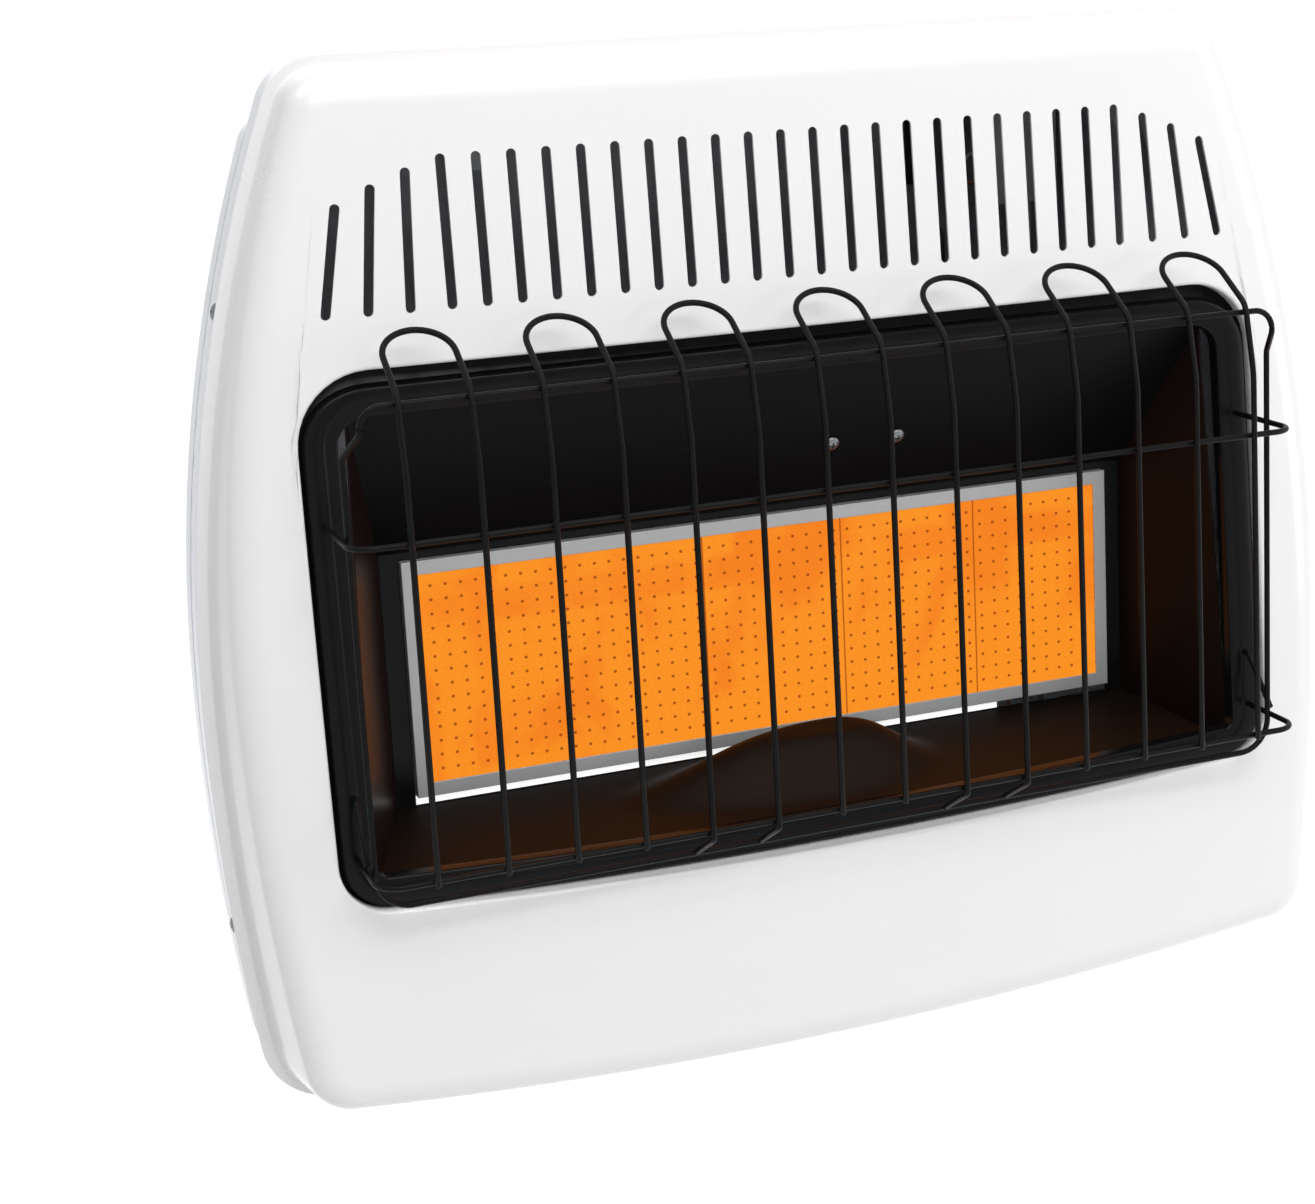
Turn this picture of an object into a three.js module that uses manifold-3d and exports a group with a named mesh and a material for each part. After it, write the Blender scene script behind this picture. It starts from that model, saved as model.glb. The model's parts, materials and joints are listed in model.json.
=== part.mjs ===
// Wall mounted infrared gas heater: a white pressed casing with a black window, a wire guard and a
// burner of five ceramic plaques, hung on a bracket. Millimetres, +Z up.
//
// X runs to the viewer's right and the room is on the -Y side of the wall plane Y = 0. Depths named
// *_OUT are distances from the wall, so a point lies at Y = -OUT. Heights are counted from the lowest
// point of the casing; the finished group is lowered so that the origin is the centre of the wall
// bracket's back.

import * as THREE from 'three';
import { mergeVertices } from 'three/addons/utils/BufferGeometryUtils.js';
import Module from 'manifold-3d';

const wasm = await Module();
wasm.setup();

// ------------------------------------------------------------------ driving dimensions

const WIDTH = 723.9;
const HEIGHT = 622.3;
const DEPTH = 292.1;
const SHEET = 1.6; // casing and bezel steel
const THIN = 1.2; // reflectors, burner box and brackets
const GAP = 0.3; // clearance where two pieces touch
const BIG = 400; // longer than any cut is deep

// Casing outline: two side arcs that meet at the widest height, a bowed lower edge, four fillets.
const WIDEST_HEIGHT = 260;
const UPPER_SIDE_RADIUS = 963;
const LOWER_SIDE_RADIUS = 1400;
const LOWER_EDGE_RADIUS = 3440;
const TOP_CORNER = 34;
const BOTTOM_CORNER = 44;

// Front panel: a flange against the rear case, a drawn side wall, a soft bevel and a leaning face.
const RIM_OUT = 175.6;
const FACE_OUT = 218; // at FACE_LEVEL
const FACE_LEVEL = 494;
const FACE_LEAN = 0.0714; // the face comes forward by this much per unit of drop
const FACE_BOW = 7; // and falls back by this much at FACE_BOW_AT
const FACE_BOW_AT = 300;
const FLANGE = 6.5;
const DRAFT = 0.17;
const BEVEL_WIDTH = 18;
const BEVEL_DEPTH = 13;
const SKIRT_DEPTH = 14;

// Vent slots.
const SLOT_COUNT = 28;
const SLOT_PITCH = 20.1;
const SLOT_WIDTH = 5.7;
const SLOT_BOTTOM = 480.2;
const SLOT_TOP = 566;
const FANNED_SLOTS = 3; // at each end, shorter and splayed
const FAN_DROP = 5.5; // per slot
const FAN_DROP_GROWTH = 0.75; // per slot squared
const FAN_SPLAY = 3.4; // per slot

// Window and bezel.
const WINDOW_HALF = 303.5;
const WINDOW_TOP = 451;
const WINDOW_BOTTOM = 138;
const WINDOW_TOP_CORNER = 42;
const WINDOW_BOTTOM_CORNER = 29;
const WINDOW_BOTTOM_RADIUS = 5000;
const WINDOW_SIDE_RADIUS = 20000;
const BEZEL_BEHIND = 10; // from the face plane to the bezel's flange
const BEZEL_OVERLAP = 6;
const REBATE_DEPTH = 6; // the sunk band along the bezel's outer edge
const REBATE = { side: 2.5, top: 9, bottom: 1 };
const RAIL = { side: 22.5, top: 26.5, bottom: 18 };
const RAIL_STEP_AT = 0.62; // where the small step runs, as a part of the rail
const RAIL_STEP = 0.8;
const SLOPE_WIDTH = 1.5; // across each step of the bezel
const RETURN_BEHIND = 20; // from the face plane to the end of the bezel's return

// Rear case: a pan behind the rim, lower at its deeper part, and a narrower box against the wall.
const CASE_INSET = 2.5;
const PAN_STEP_OUT = 140;
const PAN_BACK_OUT = 120;
const PAN_BACK_DROP = 35.3; // from the casing's top
const PAN_BACK_CORNER = 18;
const PAN_EDGE = 6;
const BOX_HALF = 266;
const BOX_BOTTOM = 40;
const BOX_TOP = 560;
const BOX_CORNER = 26;

// Burner.
const PLAQUE_COUNT = 5;
const PLAQUE_WIDTH = 92.8;
const PLAQUE_GAP = 0.4;
const PLAQUE_HEIGHT = 139.6;
const PLAQUE_THICK = 13;
const PLAQUE_OUT = 145;
const BURNER_HEIGHT = 250.6;
const BURNER_CLEAR = 0.4;
const FRAME_BORDER = 8.6;
const FRAME_SKIRT = 18;
const PLENUM_BACK_OUT = 98;

// Reflector box.
const REFLECTOR_OUT = 142.2; // rear edges
const REFLECTOR_REAR_HALF = 248;
const HOOD_REAR_Z = 327;
const TRAY_FRONT_Z = 153;
const TRAY_REAR_Z = 171.5;
const HUMP_HEIGHT = 27;
const HUMP_LEFT = 150; // from its top to where it has run out
const HUMP_RIGHT = 78;
const HUMP_HALF_DEPTH = 37;
const HUMP_FLAT = 0.2; // the level part at its top
const HUMP_X = 22;
const HUMP_OUT = 176;

// Guard.
const WIRE = 3.6;
const LEG_COUNT = 14;
const LEG_PITCH = 40.1;
const LEG_BOTTOM = 175.5;
const LEG_LEAN = 0.0155;
const SHOULDER_HEIGHT = 405;
const BEND_HEIGHT = 446;
const BEND_OUT = 278;
const LOOP_TOP_HEIGHT = 474;
const LOOP_TOP_OUT = 236;
const ARM_X = 292.2;
const MIDDLE_STAPLE_HEIGHT = 366.6;
const LOWER_STAPLE_HEIGHT = 177.5;
const STAPLE_CORNER = 14;
const STAPLE_TAIL = 7;
const PERIMETER_OUT = 258;
const PERIMETER_BOTTOM = 156;
const PERIMETER_TOP = 441;
const STAY_X = 290.5;
const STAY_HEIGHT = 212;
const STAY_END_OUT = 256;

// Controls, on the top of the box behind the front panel's upper edge.
const CONTROL_OUT = 60;
const VALVE_MARGIN = 51;
const VALVE_X = BOX_HALF - VALVE_MARGIN;
const IGNITER_SPACING = 65;
const IGNITER_X = VALVE_X - IGNITER_SPACING;
const NECK_RADIUS = 9;
const KNOB_RADIUS = 20;
const KNOB_TRAVEL = 5;
const BUTTON_RADIUS = 7;
const BUTTON_TRAVEL = 8;

// Wall bracket.
const BRACKET_HEIGHT = 510; // centre, where the origin is
const BRACKET_HALF = 200;
const BRACKET_TALL = 60;
const BRACKET_SHEET = 2;
const HOOK_X = 140;
const HOOK_WIDTH = 30;
const HOOK_RISE = 12;
const WALL_SCREW_X = 80;
const WALL_SCREW_HOLE = 6.5;

// ------------------------------------------------------------------ materials

function material(color, roughness, metalness) {
  return new THREE.MeshStandardMaterial({ color, roughness, metalness });
}

const WHITE = material(0xedeae8, 0.35, 0.0);
const BLACK_GLOSS = material(0x14110f, 0.2, 0.3);
const BLACK_WIRE = material(0x1c1a19, 0.4, 0.4);
const BLACK_PLASTIC = material(0x1a1a1a, 0.5, 0.0);
const CERAMIC = material(0xff9a2c, 0.9, 0.0);
const ALUMINISED = material(0x9c9a94, 0.4, 0.9);
const GALVANISED = material(0xa9acad, 0.45, 0.85);
const BRASS = material(0xb8944a, 0.35, 0.9);
const COPPER = material(0xb2704a, 0.4, 0.9);
const WOOL = material(0xcfc8b8, 1.0, 0.0);
const PORCELAIN = material(0xe8e4da, 0.4, 0.0);
const RED_PLASTIC = material(0xa8231c, 0.4, 0.0);

// ------------------------------------------------------------------ solids

function toSolid(geometry) {
  let clean = geometry.clone();
  clean.deleteAttribute('normal');
  clean.deleteAttribute('uv');
  clean = mergeVertices(clean, 1e-5);
  const mesh = new wasm.Mesh({
    numProp: 3,
    vertProperties: Float32Array.from(clean.attributes.position.array),
    triVerts: Uint32Array.from(clean.index.array),
  });
  return new wasm.Manifold(mesh);
}

function toGeometry(solid) {
  const mesh = solid.getMesh();
  const geometry = new THREE.BufferGeometry();
  geometry.setAttribute('position', new THREE.BufferAttribute(mesh.vertProperties, 3));
  geometry.setIndex(new THREE.BufferAttribute(mesh.triVerts, 1));
  return geometry;
}

function cut(solid, tools) {
  return tools.reduce((left, tool) => left.subtract(tool), solid);
}

function join(solids) {
  return solids.reduce((left, right) => left.add(right));
}

// A box between two heights, two distances from the wall and two X values.
function block(x0, x1, out0, out1, z0, z1) {
  const box = new THREE.BoxGeometry(x1 - x0, out1 - out0, z1 - z0);
  return toSolid(box.translate((x0 + x1) / 2, -(out0 + out1) / 2, (z0 + z1) / 2));
}

const UP = new THREE.Vector3(0, 0, 1);

// A turned body on an axis through `at`; the profile is [radius, distance along the axis].
function turned(profile, at, axis = UP, sides = 20) {
  const points = profile.map(([radius, along]) => new THREE.Vector2(radius, along));
  const lathe = new THREE.LatheGeometry(points, sides);
  const turn = new THREE.Quaternion().setFromUnitVectors(new THREE.Vector3(0, 1, 0), axis);
  return toSolid(lathe.applyQuaternion(turn).translate(at.x, at.y, at.z));
}

function rod(radius, from, to, sides = 16) {
  const axis = to.clone().sub(from);
  const length = axis.length();
  const profile = [[0, 0], [radius, 0], [radius, length], [0, length]];
  return turned(profile, from, axis.normalize(), sides);
}

function point(x, out, z) {
  return new THREE.Vector3(x, -out, z);
}

// A closed body from corners and triangles, turned to face outwards if it faces in.
function facesToSolid(corners, faces) {
  const positions = new Float32Array(corners.flatMap((p) => [p.x, p.y, p.z]));
  const geometry = new THREE.BufferGeometry();
  geometry.setAttribute('position', new THREE.BufferAttribute(positions, 3));
  geometry.setIndex(faces);
  const solid = toSolid(geometry);
  if (solid.volume() > 0) return solid;
  geometry.index.array.reverse();
  return toSolid(geometry);
}

// Joins rings with the same number of points into one closed body. An open stack is capped at both
// ends; a looped one comes back to its first ring.
function loft(rings, looped = false) {
  const count = rings[0].length;
  const faces = [];
  const steps = looped ? rings.length : rings.length - 1;
  for (let r = 0; r < steps; r += 1) {
    const near = r * count;
    const far = ((r + 1) % rings.length) * count;
    for (let i = 0; i < count; i += 1) {
      const next = (i + 1) % count;
      faces.push(near + i, near + next, far + next, near + i, far + next, far + i);
    }
  }
  if (!looped) {
    const flat = (end) => end.map((p) => new THREE.Vector2(p.x, p.z));
    const cap = (end) => THREE.ShapeUtils.triangulateShape(flat(end), []);
    const last = (rings.length - 1) * count;
    cap(rings[0]).forEach(([a, b, c]) => faces.push(a, c, b));
    cap(rings[rings.length - 1]).forEach(([a, b, c]) => faces.push(last + a, last + b, last + c));
  }
  return facesToSolid(rings.flat(), faces);
}

// ------------------------------------------------------------------ bowed outlines

function circleMeeting(a, radiusA, b, radiusB) {
  const span = Math.hypot(b.x - a.x, b.z - a.z);
  const along = (radiusA ** 2 - radiusB ** 2 + span ** 2) / (2 * span);
  const aside = Math.sqrt(radiusA ** 2 - along ** 2);
  const ux = (b.x - a.x) / span;
  const uz = (b.z - a.z) / span;
  const meetings = [1, -1].map((side) => ({
    x: a.x + ux * along - uz * aside * side,
    z: a.z + uz * along + ux * aside * side,
  }));
  return meetings[0].x > meetings[1].x ? meetings[0] : meetings[1];
}

// A closed outline in X and Z with mirrored bowed sides, a straight top and a bowed lower edge. Each
// point carries its outward normal, so that rings can be set in or out from it.
function bowedOutline(shape, steps) {
  const upper = { x: shape.half - shape.upperRadius, z: shape.widest };
  const lower = { x: shape.half - shape.lowerRadius, z: shape.widest };
  const base = { x: 0, z: shape.bottom + shape.bottomRadius };
  const topReach = shape.upperRadius - shape.topCorner;
  const topRise = shape.top - shape.topCorner - shape.widest;
  const topFillet = {
    x: upper.x + Math.sqrt(topReach ** 2 - topRise ** 2),
    z: shape.top - shape.topCorner,
  };
  const foot = circleMeeting(
    lower, shape.lowerRadius - shape.bottomCorner, base, shape.bottomRadius - shape.bottomCorner,
  );
  const angle = (centre, p) => Math.atan2(p.z - centre.z, p.x - centre.x);
  const right = [];
  const arc = (centre, radius, from, to, count) => {
    for (let i = 0; i < count; i += 1) {
      const a = from + ((to - from) * i) / count;
      const nx = Math.cos(a);
      const nz = Math.sin(a);
      right.push({ x: centre.x + radius * nx, z: centre.z + radius * nz, nx, nz });
    }
  };
  arc(base, shape.bottomRadius, -Math.PI / 2, angle(base, foot), steps.edge);
  arc(foot, shape.bottomCorner, angle(base, foot), angle(lower, foot), steps.corner);
  arc(lower, shape.lowerRadius, angle(lower, foot), 0, steps.side);
  arc(upper, shape.upperRadius, 0, angle(upper, topFillet), steps.side);
  arc(topFillet, shape.topCorner, angle(upper, topFillet), Math.PI / 2, steps.corner);
  for (let i = 0; i <= steps.top; i += 1) {
    right.push({ x: topFillet.x * (1 - i / steps.top), z: shape.top, nx: 0, nz: 1 });
  }
  const left = right.slice(1, -1).reverse().map((p) => ({ x: -p.x, z: p.z, nx: -p.nx, nz: p.nz }));
  return [...right, ...left];
}

// One ring of an outline, set in by `inset` and placed at a distance `out` from the wall. Either may
// be a number; `inset` may be a function of the outline point and `out` of the ring's Z and X.
function ring(outline, inset, out) {
  return outline.map((p) => {
    const step = typeof inset === 'function' ? inset(p) : inset;
    const x = p.x - p.nx * step;
    const z = p.z - p.nz * step;
    return point(x, typeof out === 'function' ? out(z, x) : out, z);
  });
}

function prism(outline, inset, out0, out1) {
  return loft([ring(outline, inset, out0), ring(outline, inset, out1)]);
}

const CASING_SHAPE = {
  half: WIDTH / 2,
  widest: WIDEST_HEIGHT,
  upperRadius: UPPER_SIDE_RADIUS,
  lowerRadius: LOWER_SIDE_RADIUS,
  top: HEIGHT,
  bottom: 0,
  bottomRadius: LOWER_EDGE_RADIUS,
  topCorner: TOP_CORNER,
  bottomCorner: BOTTOM_CORNER,
};
const CASING = bowedOutline(CASING_SHAPE, { edge: 5, corner: 5, side: 6, top: 2 });
const LOW_PAN = bowedOutline(
  { ...CASING_SHAPE, top: HEIGHT - PAN_BACK_DROP + CASE_INSET, topCorner: PAN_BACK_CORNER },
  { edge: 4, corner: 4, side: 6, top: 1 },
);
const WINDOW = bowedOutline(
  {
    half: WINDOW_HALF,
    widest: (WINDOW_TOP + WINDOW_BOTTOM) / 2,
    upperRadius: WINDOW_SIDE_RADIUS,
    lowerRadius: WINDOW_SIDE_RADIUS,
    top: WINDOW_TOP,
    bottom: WINDOW_BOTTOM,
    bottomRadius: WINDOW_BOTTOM_RADIUS,
    topCorner: WINDOW_TOP_CORNER,
    bottomCorner: WINDOW_BOTTOM_CORNER,
  },
  { edge: 4, corner: 5, side: 1, top: 1 },
);

function faceOut(z, x = 0) {
  return FACE_OUT + FACE_LEAN * (FACE_LEVEL - z) - FACE_BOW * (x / FACE_BOW_AT) ** 2;
}

function sideHalfWidth(z) {
  const radius = z > WIDEST_HEIGHT ? UPPER_SIDE_RADIUS : LOWER_SIDE_RADIUS;
  return WIDTH / 2 - radius + Math.sqrt(radius ** 2 - (z - WIDEST_HEIGHT) ** 2);
}

// ------------------------------------------------------------------ wires and tubes

// Rounds each corner of a route with an arc of its bend radius.
function bent(corners, radii, steps = 5) {
  const route = [corners[0]];
  for (let i = 1; i < corners.length - 1; i += 1) {
    const radius = Array.isArray(radii) ? radii[i - 1] : radii;
    const back = corners[i - 1].clone().sub(corners[i]).normalize();
    const ahead = corners[i + 1].clone().sub(corners[i]).normalize();
    const half = back.angleTo(ahead) / 2;
    const start = corners[i].clone().addScaledVector(back, radius / Math.tan(half));
    const end = corners[i].clone().addScaledVector(ahead, radius / Math.tan(half));
    const inward = back.clone().add(ahead).normalize();
    const centre = corners[i].clone().addScaledVector(inward, radius / Math.sin(half));
    for (let k = 0; k <= steps; k += 1) {
      const spoke = start.clone().lerp(end, k / steps).sub(centre).setLength(radius);
      route.push(centre.clone().add(spoke));
    }
  }
  route.push(corners[corners.length - 1]);
  return route;
}

// A curve that steps through the given points only, with the mean direction at each.
class Route extends THREE.Curve {
  constructor(points) {
    super();
    this.points = points;
  }

  getPointAt(u) {
    return this.points[Math.round(u * (this.points.length - 1))].clone();
  }

  getTangentAt(u) {
    const last = this.points.length - 1;
    const i = Math.round(u * last);
    const before = this.points[Math.max(i - 1, 0)];
    const here = this.points[i];
    const after = this.points[Math.min(i + 1, last)];
    const tangent = here.clone().sub(before).normalize();
    return tangent.add(after.clone().sub(here).normalize()).normalize();
  }
}

function wire(route, radius = WIRE / 2, sides = 8) {
  const corners = Array.from({ length: sides }, (_, i) => {
    const turn = (2 * Math.PI * i) / sides;
    return new THREE.Vector2(radius * Math.cos(turn), radius * Math.sin(turn));
  });
  const geometry = new THREE.ExtrudeGeometry(new THREE.Shape(corners), {
    steps: route.length - 1,
    bevelEnabled: false,
    extrudePath: new Route(route),
  });
  return toSolid(geometry);
}

// ------------------------------------------------------------------ the object

const heater = new THREE.Group();
const body = new THREE.Group();
body.position.z = -BRACKET_HEIGHT;
heater.add(body);

function add(name, solid, look) {
  const mesh = new THREE.Mesh(toGeometry(solid), look.clone());
  mesh.name = name;
  body.add(mesh);
}

const LEFT_AND_RIGHT = [['left', -1], ['right', 1]];

// ---- casing screws: through the pan's side wall and the front panel's skirt

const SIDE_SCREW_HEIGHTS = [485, 127];
const SIDE_SCREW_OUT = RIM_OUT - SHEET - GAP - SKIRT_DEPTH / 2;
const SCREW_RADIUS = 2;
const SCREW_HEAD = 5.2;
const SCREW_HEAD_HEIGHT = 3;
const SCREW_LENGTH = 9;

const SIDE_SCREWS = LEFT_AND_RIGHT.flatMap(([, side]) => SIDE_SCREW_HEIGHTS.map((z) => {
  const radius = z > WIDEST_HEIGHT ? UPPER_SIDE_RADIUS : LOWER_SIDE_RADIUS;
  const slope = (z - WIDEST_HEIGHT) / radius;
  const axis = new THREE.Vector3(side * Math.sqrt(1 - slope ** 2), 0, slope);
  const seat = point(side * sideHalfWidth(z), SIDE_SCREW_OUT, z).addScaledVector(axis, GAP - CASE_INSET);
  return { seat, axis };
}));

function screwHole({ seat, axis }) {
  const from = seat.clone().addScaledVector(axis, 2 * SCREW_HEAD_HEIGHT);
  const to = seat.clone().addScaledVector(axis, -2 * SCREW_LENGTH);
  return rod(SCREW_RADIUS + GAP, from, to, 10);
}

function screw({ seat, axis }) {
  return turned([
    [0, -SCREW_LENGTH],
    [SCREW_RADIUS, -SCREW_LENGTH],
    [SCREW_RADIUS, 0],
    [SCREW_HEAD, 0],
    [SCREW_HEAD, SCREW_HEAD_HEIGHT / 3],
    [SCREW_HEAD / 2, SCREW_HEAD_HEIGHT],
    [0, SCREW_HEAD_HEIGHT],
  ], seat, axis, 10);
}

SIDE_SCREWS.forEach((place, i) => add(`side_screw_${i + 1}`, screw(place), GALVANISED));

// ---- front panel

function slot(index) {
  const fromEnd = Math.min(index, SLOT_COUNT - 1 - index);
  const fan = Math.max(0, FANNED_SLOTS - fromEnd);
  const x = (index - (SLOT_COUNT - 1) / 2) * SLOT_PITCH;
  const drop = FAN_DROP * fan + FAN_DROP_GROWTH * fan ** 2;
  const splay = FAN_SPLAY * fan * Math.sign(x);
  const end = SLOT_WIDTH / 2;
  const top = new THREE.Vector2(x, SLOT_TOP - drop - end);
  const bottom = new THREE.Vector2(x + splay, SLOT_BOTTOM + end);
  const tilt = top.clone().sub(bottom).angle();
  const shape = new THREE.Shape();
  shape.absarc(top.x, top.y, end, tilt - Math.PI / 2, tilt + Math.PI / 2);
  shape.absarc(bottom.x, bottom.y, end, tilt + Math.PI / 2, tilt + 1.5 * Math.PI);
  const depth = 3 * BEVEL_DEPTH;
  const geometry = new THREE.ExtrudeGeometry(shape, { depth, bevelEnabled: false, curveSegments: 3 });
  return toSolid(geometry.rotateX(Math.PI / 2).translate(0, depth / 2 - FACE_OUT, 0));
}

function frontPanel() {
  const centreHeight = HEIGHT / 2;
  const wallInset = (p) => FLANGE + DRAFT * (faceOut(p.z, p.x) - BEVEL_DEPTH - RIM_OUT);
  const faceRing = (scale, behind) => ring(CASING, (p) => wallInset(p) + BEVEL_WIDTH, 0).map((p) => {
    const z = centreHeight + (p.z - centreHeight) * scale;
    return point(p.x * scale, faceOut(z, p.x * scale) - behind, z);
  });
  const bevelRing = (turn, behind) => ring(
    CASING,
    (p) => wallInset(p) + BEVEL_WIDTH * (1 - Math.cos(turn)) + behind * Math.cos(turn),
    (z, x) => faceOut(z, x) - BEVEL_DEPTH * (1 - Math.sin(turn)) - behind * Math.sin(turn),
  );
  const skirtInset = CASE_INSET + SHEET + GAP;
  const flangeBack = RIM_OUT - SHEET;
  const skirtEnd = flangeBack - SKIRT_DEPTH;
  const turns = [80, 60, 40, 20, 0].map(THREE.MathUtils.degToRad); // round the bevel, face to side
  const shell = loft([
    faceRing(0.1, 0),
    faceRing(0.7, 0),
    faceRing(1, 0),
    ...turns.map((turn) => bevelRing(turn, 0)),
    ring(CASING, FLANGE, RIM_OUT),
    ring(CASING, 0, RIM_OUT),
    ring(CASING, 0, flangeBack),
    ring(CASING, skirtInset, flangeBack),
    ring(CASING, skirtInset, skirtEnd),
    ring(CASING, skirtInset + SHEET, skirtEnd),
    ring(CASING, skirtInset + SHEET, flangeBack),
    ring(CASING, FLANGE + SHEET, flangeBack),
    ...turns.toReversed().filter((turn, i) => i % 2 === 0).map((turn) => bevelRing(turn, SHEET)),
    faceRing(1, SHEET),
    faceRing(0.7, SHEET),
    faceRing(0.1, SHEET),
  ]);
  const lipEnd = (z) => faceOut(z) - BEZEL_BEHIND - REBATE_DEPTH + GAP;
  const lipStart = (z, x) => faceOut(z, x) - SHEET / 2;
  const lip = loft([
    ring(WINDOW, -SHEET, lipStart),
    ring(WINDOW, 0, lipStart),
    ring(WINDOW, 0, lipEnd),
    ring(WINDOW, -SHEET, lipEnd),
  ], true);
  const openings = [
    prism(WINDOW, 0, RIM_OUT, RIM_OUT + BIG),
    ...Array.from({ length: SLOT_COUNT }, (_, i) => slot(i)),
    ...SIDE_SCREWS.map(screwHole),
  ];
  return cut(shell, openings).add(lip);
}

add('front_panel', frontPanel(), WHITE);

// ---- window bezel: a sunk band against the panel's lip, a flange with a small step, and a return

// A width that differs between the sides, the top and the bottom of the window.
function railWidth(p, widths) {
  const up = Math.max(0, p.nz) ** 2;
  const down = Math.max(0, -p.nz) ** 2;
  return widths.side * (1 - up - down) + widths.top * up + widths.bottom * down;
}

function bezelOut(z, behind) {
  return faceOut(z) - BEZEL_BEHIND - behind;
}

const GUARD_HOLES = [
  [ARM_X, MIDDLE_STAPLE_HEIGHT],
  [ARM_X, LOWER_STAPLE_HEIGHT],
  [STAY_X, STAY_HEIGHT],
];

function windowBezel() {
  const at = (behind) => (z) => bezelOut(z, behind);
  const rebate = (p) => railWidth(p, REBATE);
  const rail = (p) => railWidth(p, RAIL);
  const returnEnd = RETURN_BEHIND - BEZEL_BEHIND;
  const frame = loft([
    ring(WINDOW, -BEZEL_OVERLAP, at(REBATE_DEPTH)),
    ring(WINDOW, rebate, at(REBATE_DEPTH)),
    ring(WINDOW, (p) => rebate(p) + SLOPE_WIDTH, at(0)),
    ring(WINDOW, (p) => rail(p) * RAIL_STEP_AT, at(0)),
    ring(WINDOW, (p) => rail(p) * RAIL_STEP_AT + SLOPE_WIDTH, at(RAIL_STEP)),
    ring(WINDOW, rail, at(RAIL_STEP)),
    ring(WINDOW, rail, at(returnEnd)),
    ring(WINDOW, (p) => rail(p) - SHEET, at(returnEnd)),
    ring(WINDOW, (p) => rail(p) - SHEET, at(RAIL_STEP + SHEET)),
    ring(WINDOW, (p) => rebate(p) + SLOPE_WIDTH, at(RAIL_STEP + SHEET)),
    ring(WINDOW, (p) => rebate(p) - SLOPE_WIDTH, at(REBATE_DEPTH + SHEET)),
    ring(WINDOW, -BEZEL_OVERLAP, at(REBATE_DEPTH + SHEET)),
  ], true);
  const holes = LEFT_AND_RIGHT.flatMap(([, side]) => GUARD_HOLES.map(([x, z]) => rod(
    WIRE / 2 + GAP, point(side * x, RIM_OUT, z), point(side * x, DEPTH, z), 10,
  )));
  return cut(frame, holes);
}

add('window_bezel', windowBezel(), BLACK_GLOSS);

// ---- reflector box: hood, two side sheets and a tray with a hump over the pilot

const REFLECTOR_START = RETURN_BEHIND + GAP; // behind the face plane
const HOOD_FRONT_Z = WINDOW_TOP - RAIL.top;
const HOOD_FRONT_OUT = faceOut(HOOD_FRONT_Z) - REFLECTOR_START;
const TRAY_FRONT_OUT = faceOut(TRAY_FRONT_Z) - REFLECTOR_START;
const REFLECTOR_FRONT_HALF = WINDOW_HALF - RAIL.side;

function between(out, outA, valueA, outB, valueB) {
  return valueA + ((valueB - valueA) * (out - outA)) / (outB - outA);
}

function reflectorHalf(out) {
  return between(out, TRAY_FRONT_OUT, REFLECTOR_FRONT_HALF, REFLECTOR_OUT, REFLECTOR_REAR_HALF);
}

function hoodZ(out) {
  return between(out, HOOD_FRONT_OUT, HOOD_FRONT_Z, REFLECTOR_OUT, HOOD_REAR_Z);
}

function trayZ(out) {
  return between(out, TRAY_FRONT_OUT, TRAY_FRONT_Z, REFLECTOR_OUT, TRAY_REAR_Z);
}

// A flat sheet on four corners, given in order round its edge.
function sheet(corners, offset) {
  const far = corners.map((p) => p.clone().add(offset));
  const faces = [0, 1, 2, 0, 2, 3, 4, 6, 5, 4, 7, 6];
  for (let i = 0; i < 4; i += 1) {
    const next = (i + 1) % 4;
    faces.push(i, next + 4, next, i, i + 4, next + 4);
  }
  return facesToSolid([...corners, ...far], faces);
}

const HOOD_SLOPE = new THREE.Vector3(
  0, -(HOOD_FRONT_OUT - REFLECTOR_OUT), HOOD_FRONT_Z - HOOD_REAR_Z,
).normalize();
const HOOD_NORMAL = new THREE.Vector3(0, -HOOD_SLOPE.z, HOOD_SLOPE.y); // towards the room
const SIDE_COVER = THIN + 2 * GAP;

function upperReflector() {
  const front = reflectorHalf(HOOD_FRONT_OUT) + SIDE_COVER;
  const rear = REFLECTOR_REAR_HALF + SIDE_COVER;
  const rearOut = REFLECTOR_OUT + THIN; // so that its back face clears the surround
  const corners = [
    point(-front, HOOD_FRONT_OUT, HOOD_FRONT_Z),
    point(front, HOOD_FRONT_OUT, HOOD_FRONT_Z),
    point(rear, rearOut, hoodZ(rearOut)),
    point(-rear, rearOut, hoodZ(rearOut)),
  ];
  return sheet(corners, HOOD_NORMAL.clone().multiplyScalar(-THIN));
}

const HOOD_SCREW_XS = [33, 77];
const HOOD_SCREW_OUT = 168;
const HOOD_SCREWS = HOOD_SCREW_XS.map((x) => ({
  seat: point(x, HOOD_SCREW_OUT, hoodZ(HOOD_SCREW_OUT)).addScaledVector(HOOD_NORMAL, GAP),
  axis: HOOD_NORMAL,
}));
add('upper_reflector', cut(upperReflector(), HOOD_SCREWS.map(screwHole)), BLACK_GLOSS);
HOOD_SCREWS.forEach((place, i) => add(`hood_screw_${i + 1}`, screw(place), GALVANISED));

function sideReflector(side) {
  const clear = 2 * GAP;
  const corner = (out, z) => point(side * reflectorHalf(out), out, z);
  const corners = [
    corner(HOOD_FRONT_OUT, HOOD_FRONT_Z - clear),
    corner(REFLECTOR_OUT, HOOD_REAR_Z - clear),
    corner(REFLECTOR_OUT, TRAY_REAR_Z + clear),
    corner(TRAY_FRONT_OUT, TRAY_FRONT_Z + clear),
  ];
  return sheet(corners, new THREE.Vector3(side * THIN, 0, 0));
}

LEFT_AND_RIGHT.forEach(([name, side]) => add(`${name}_reflector`, sideReflector(side), BLACK_GLOSS));

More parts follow.
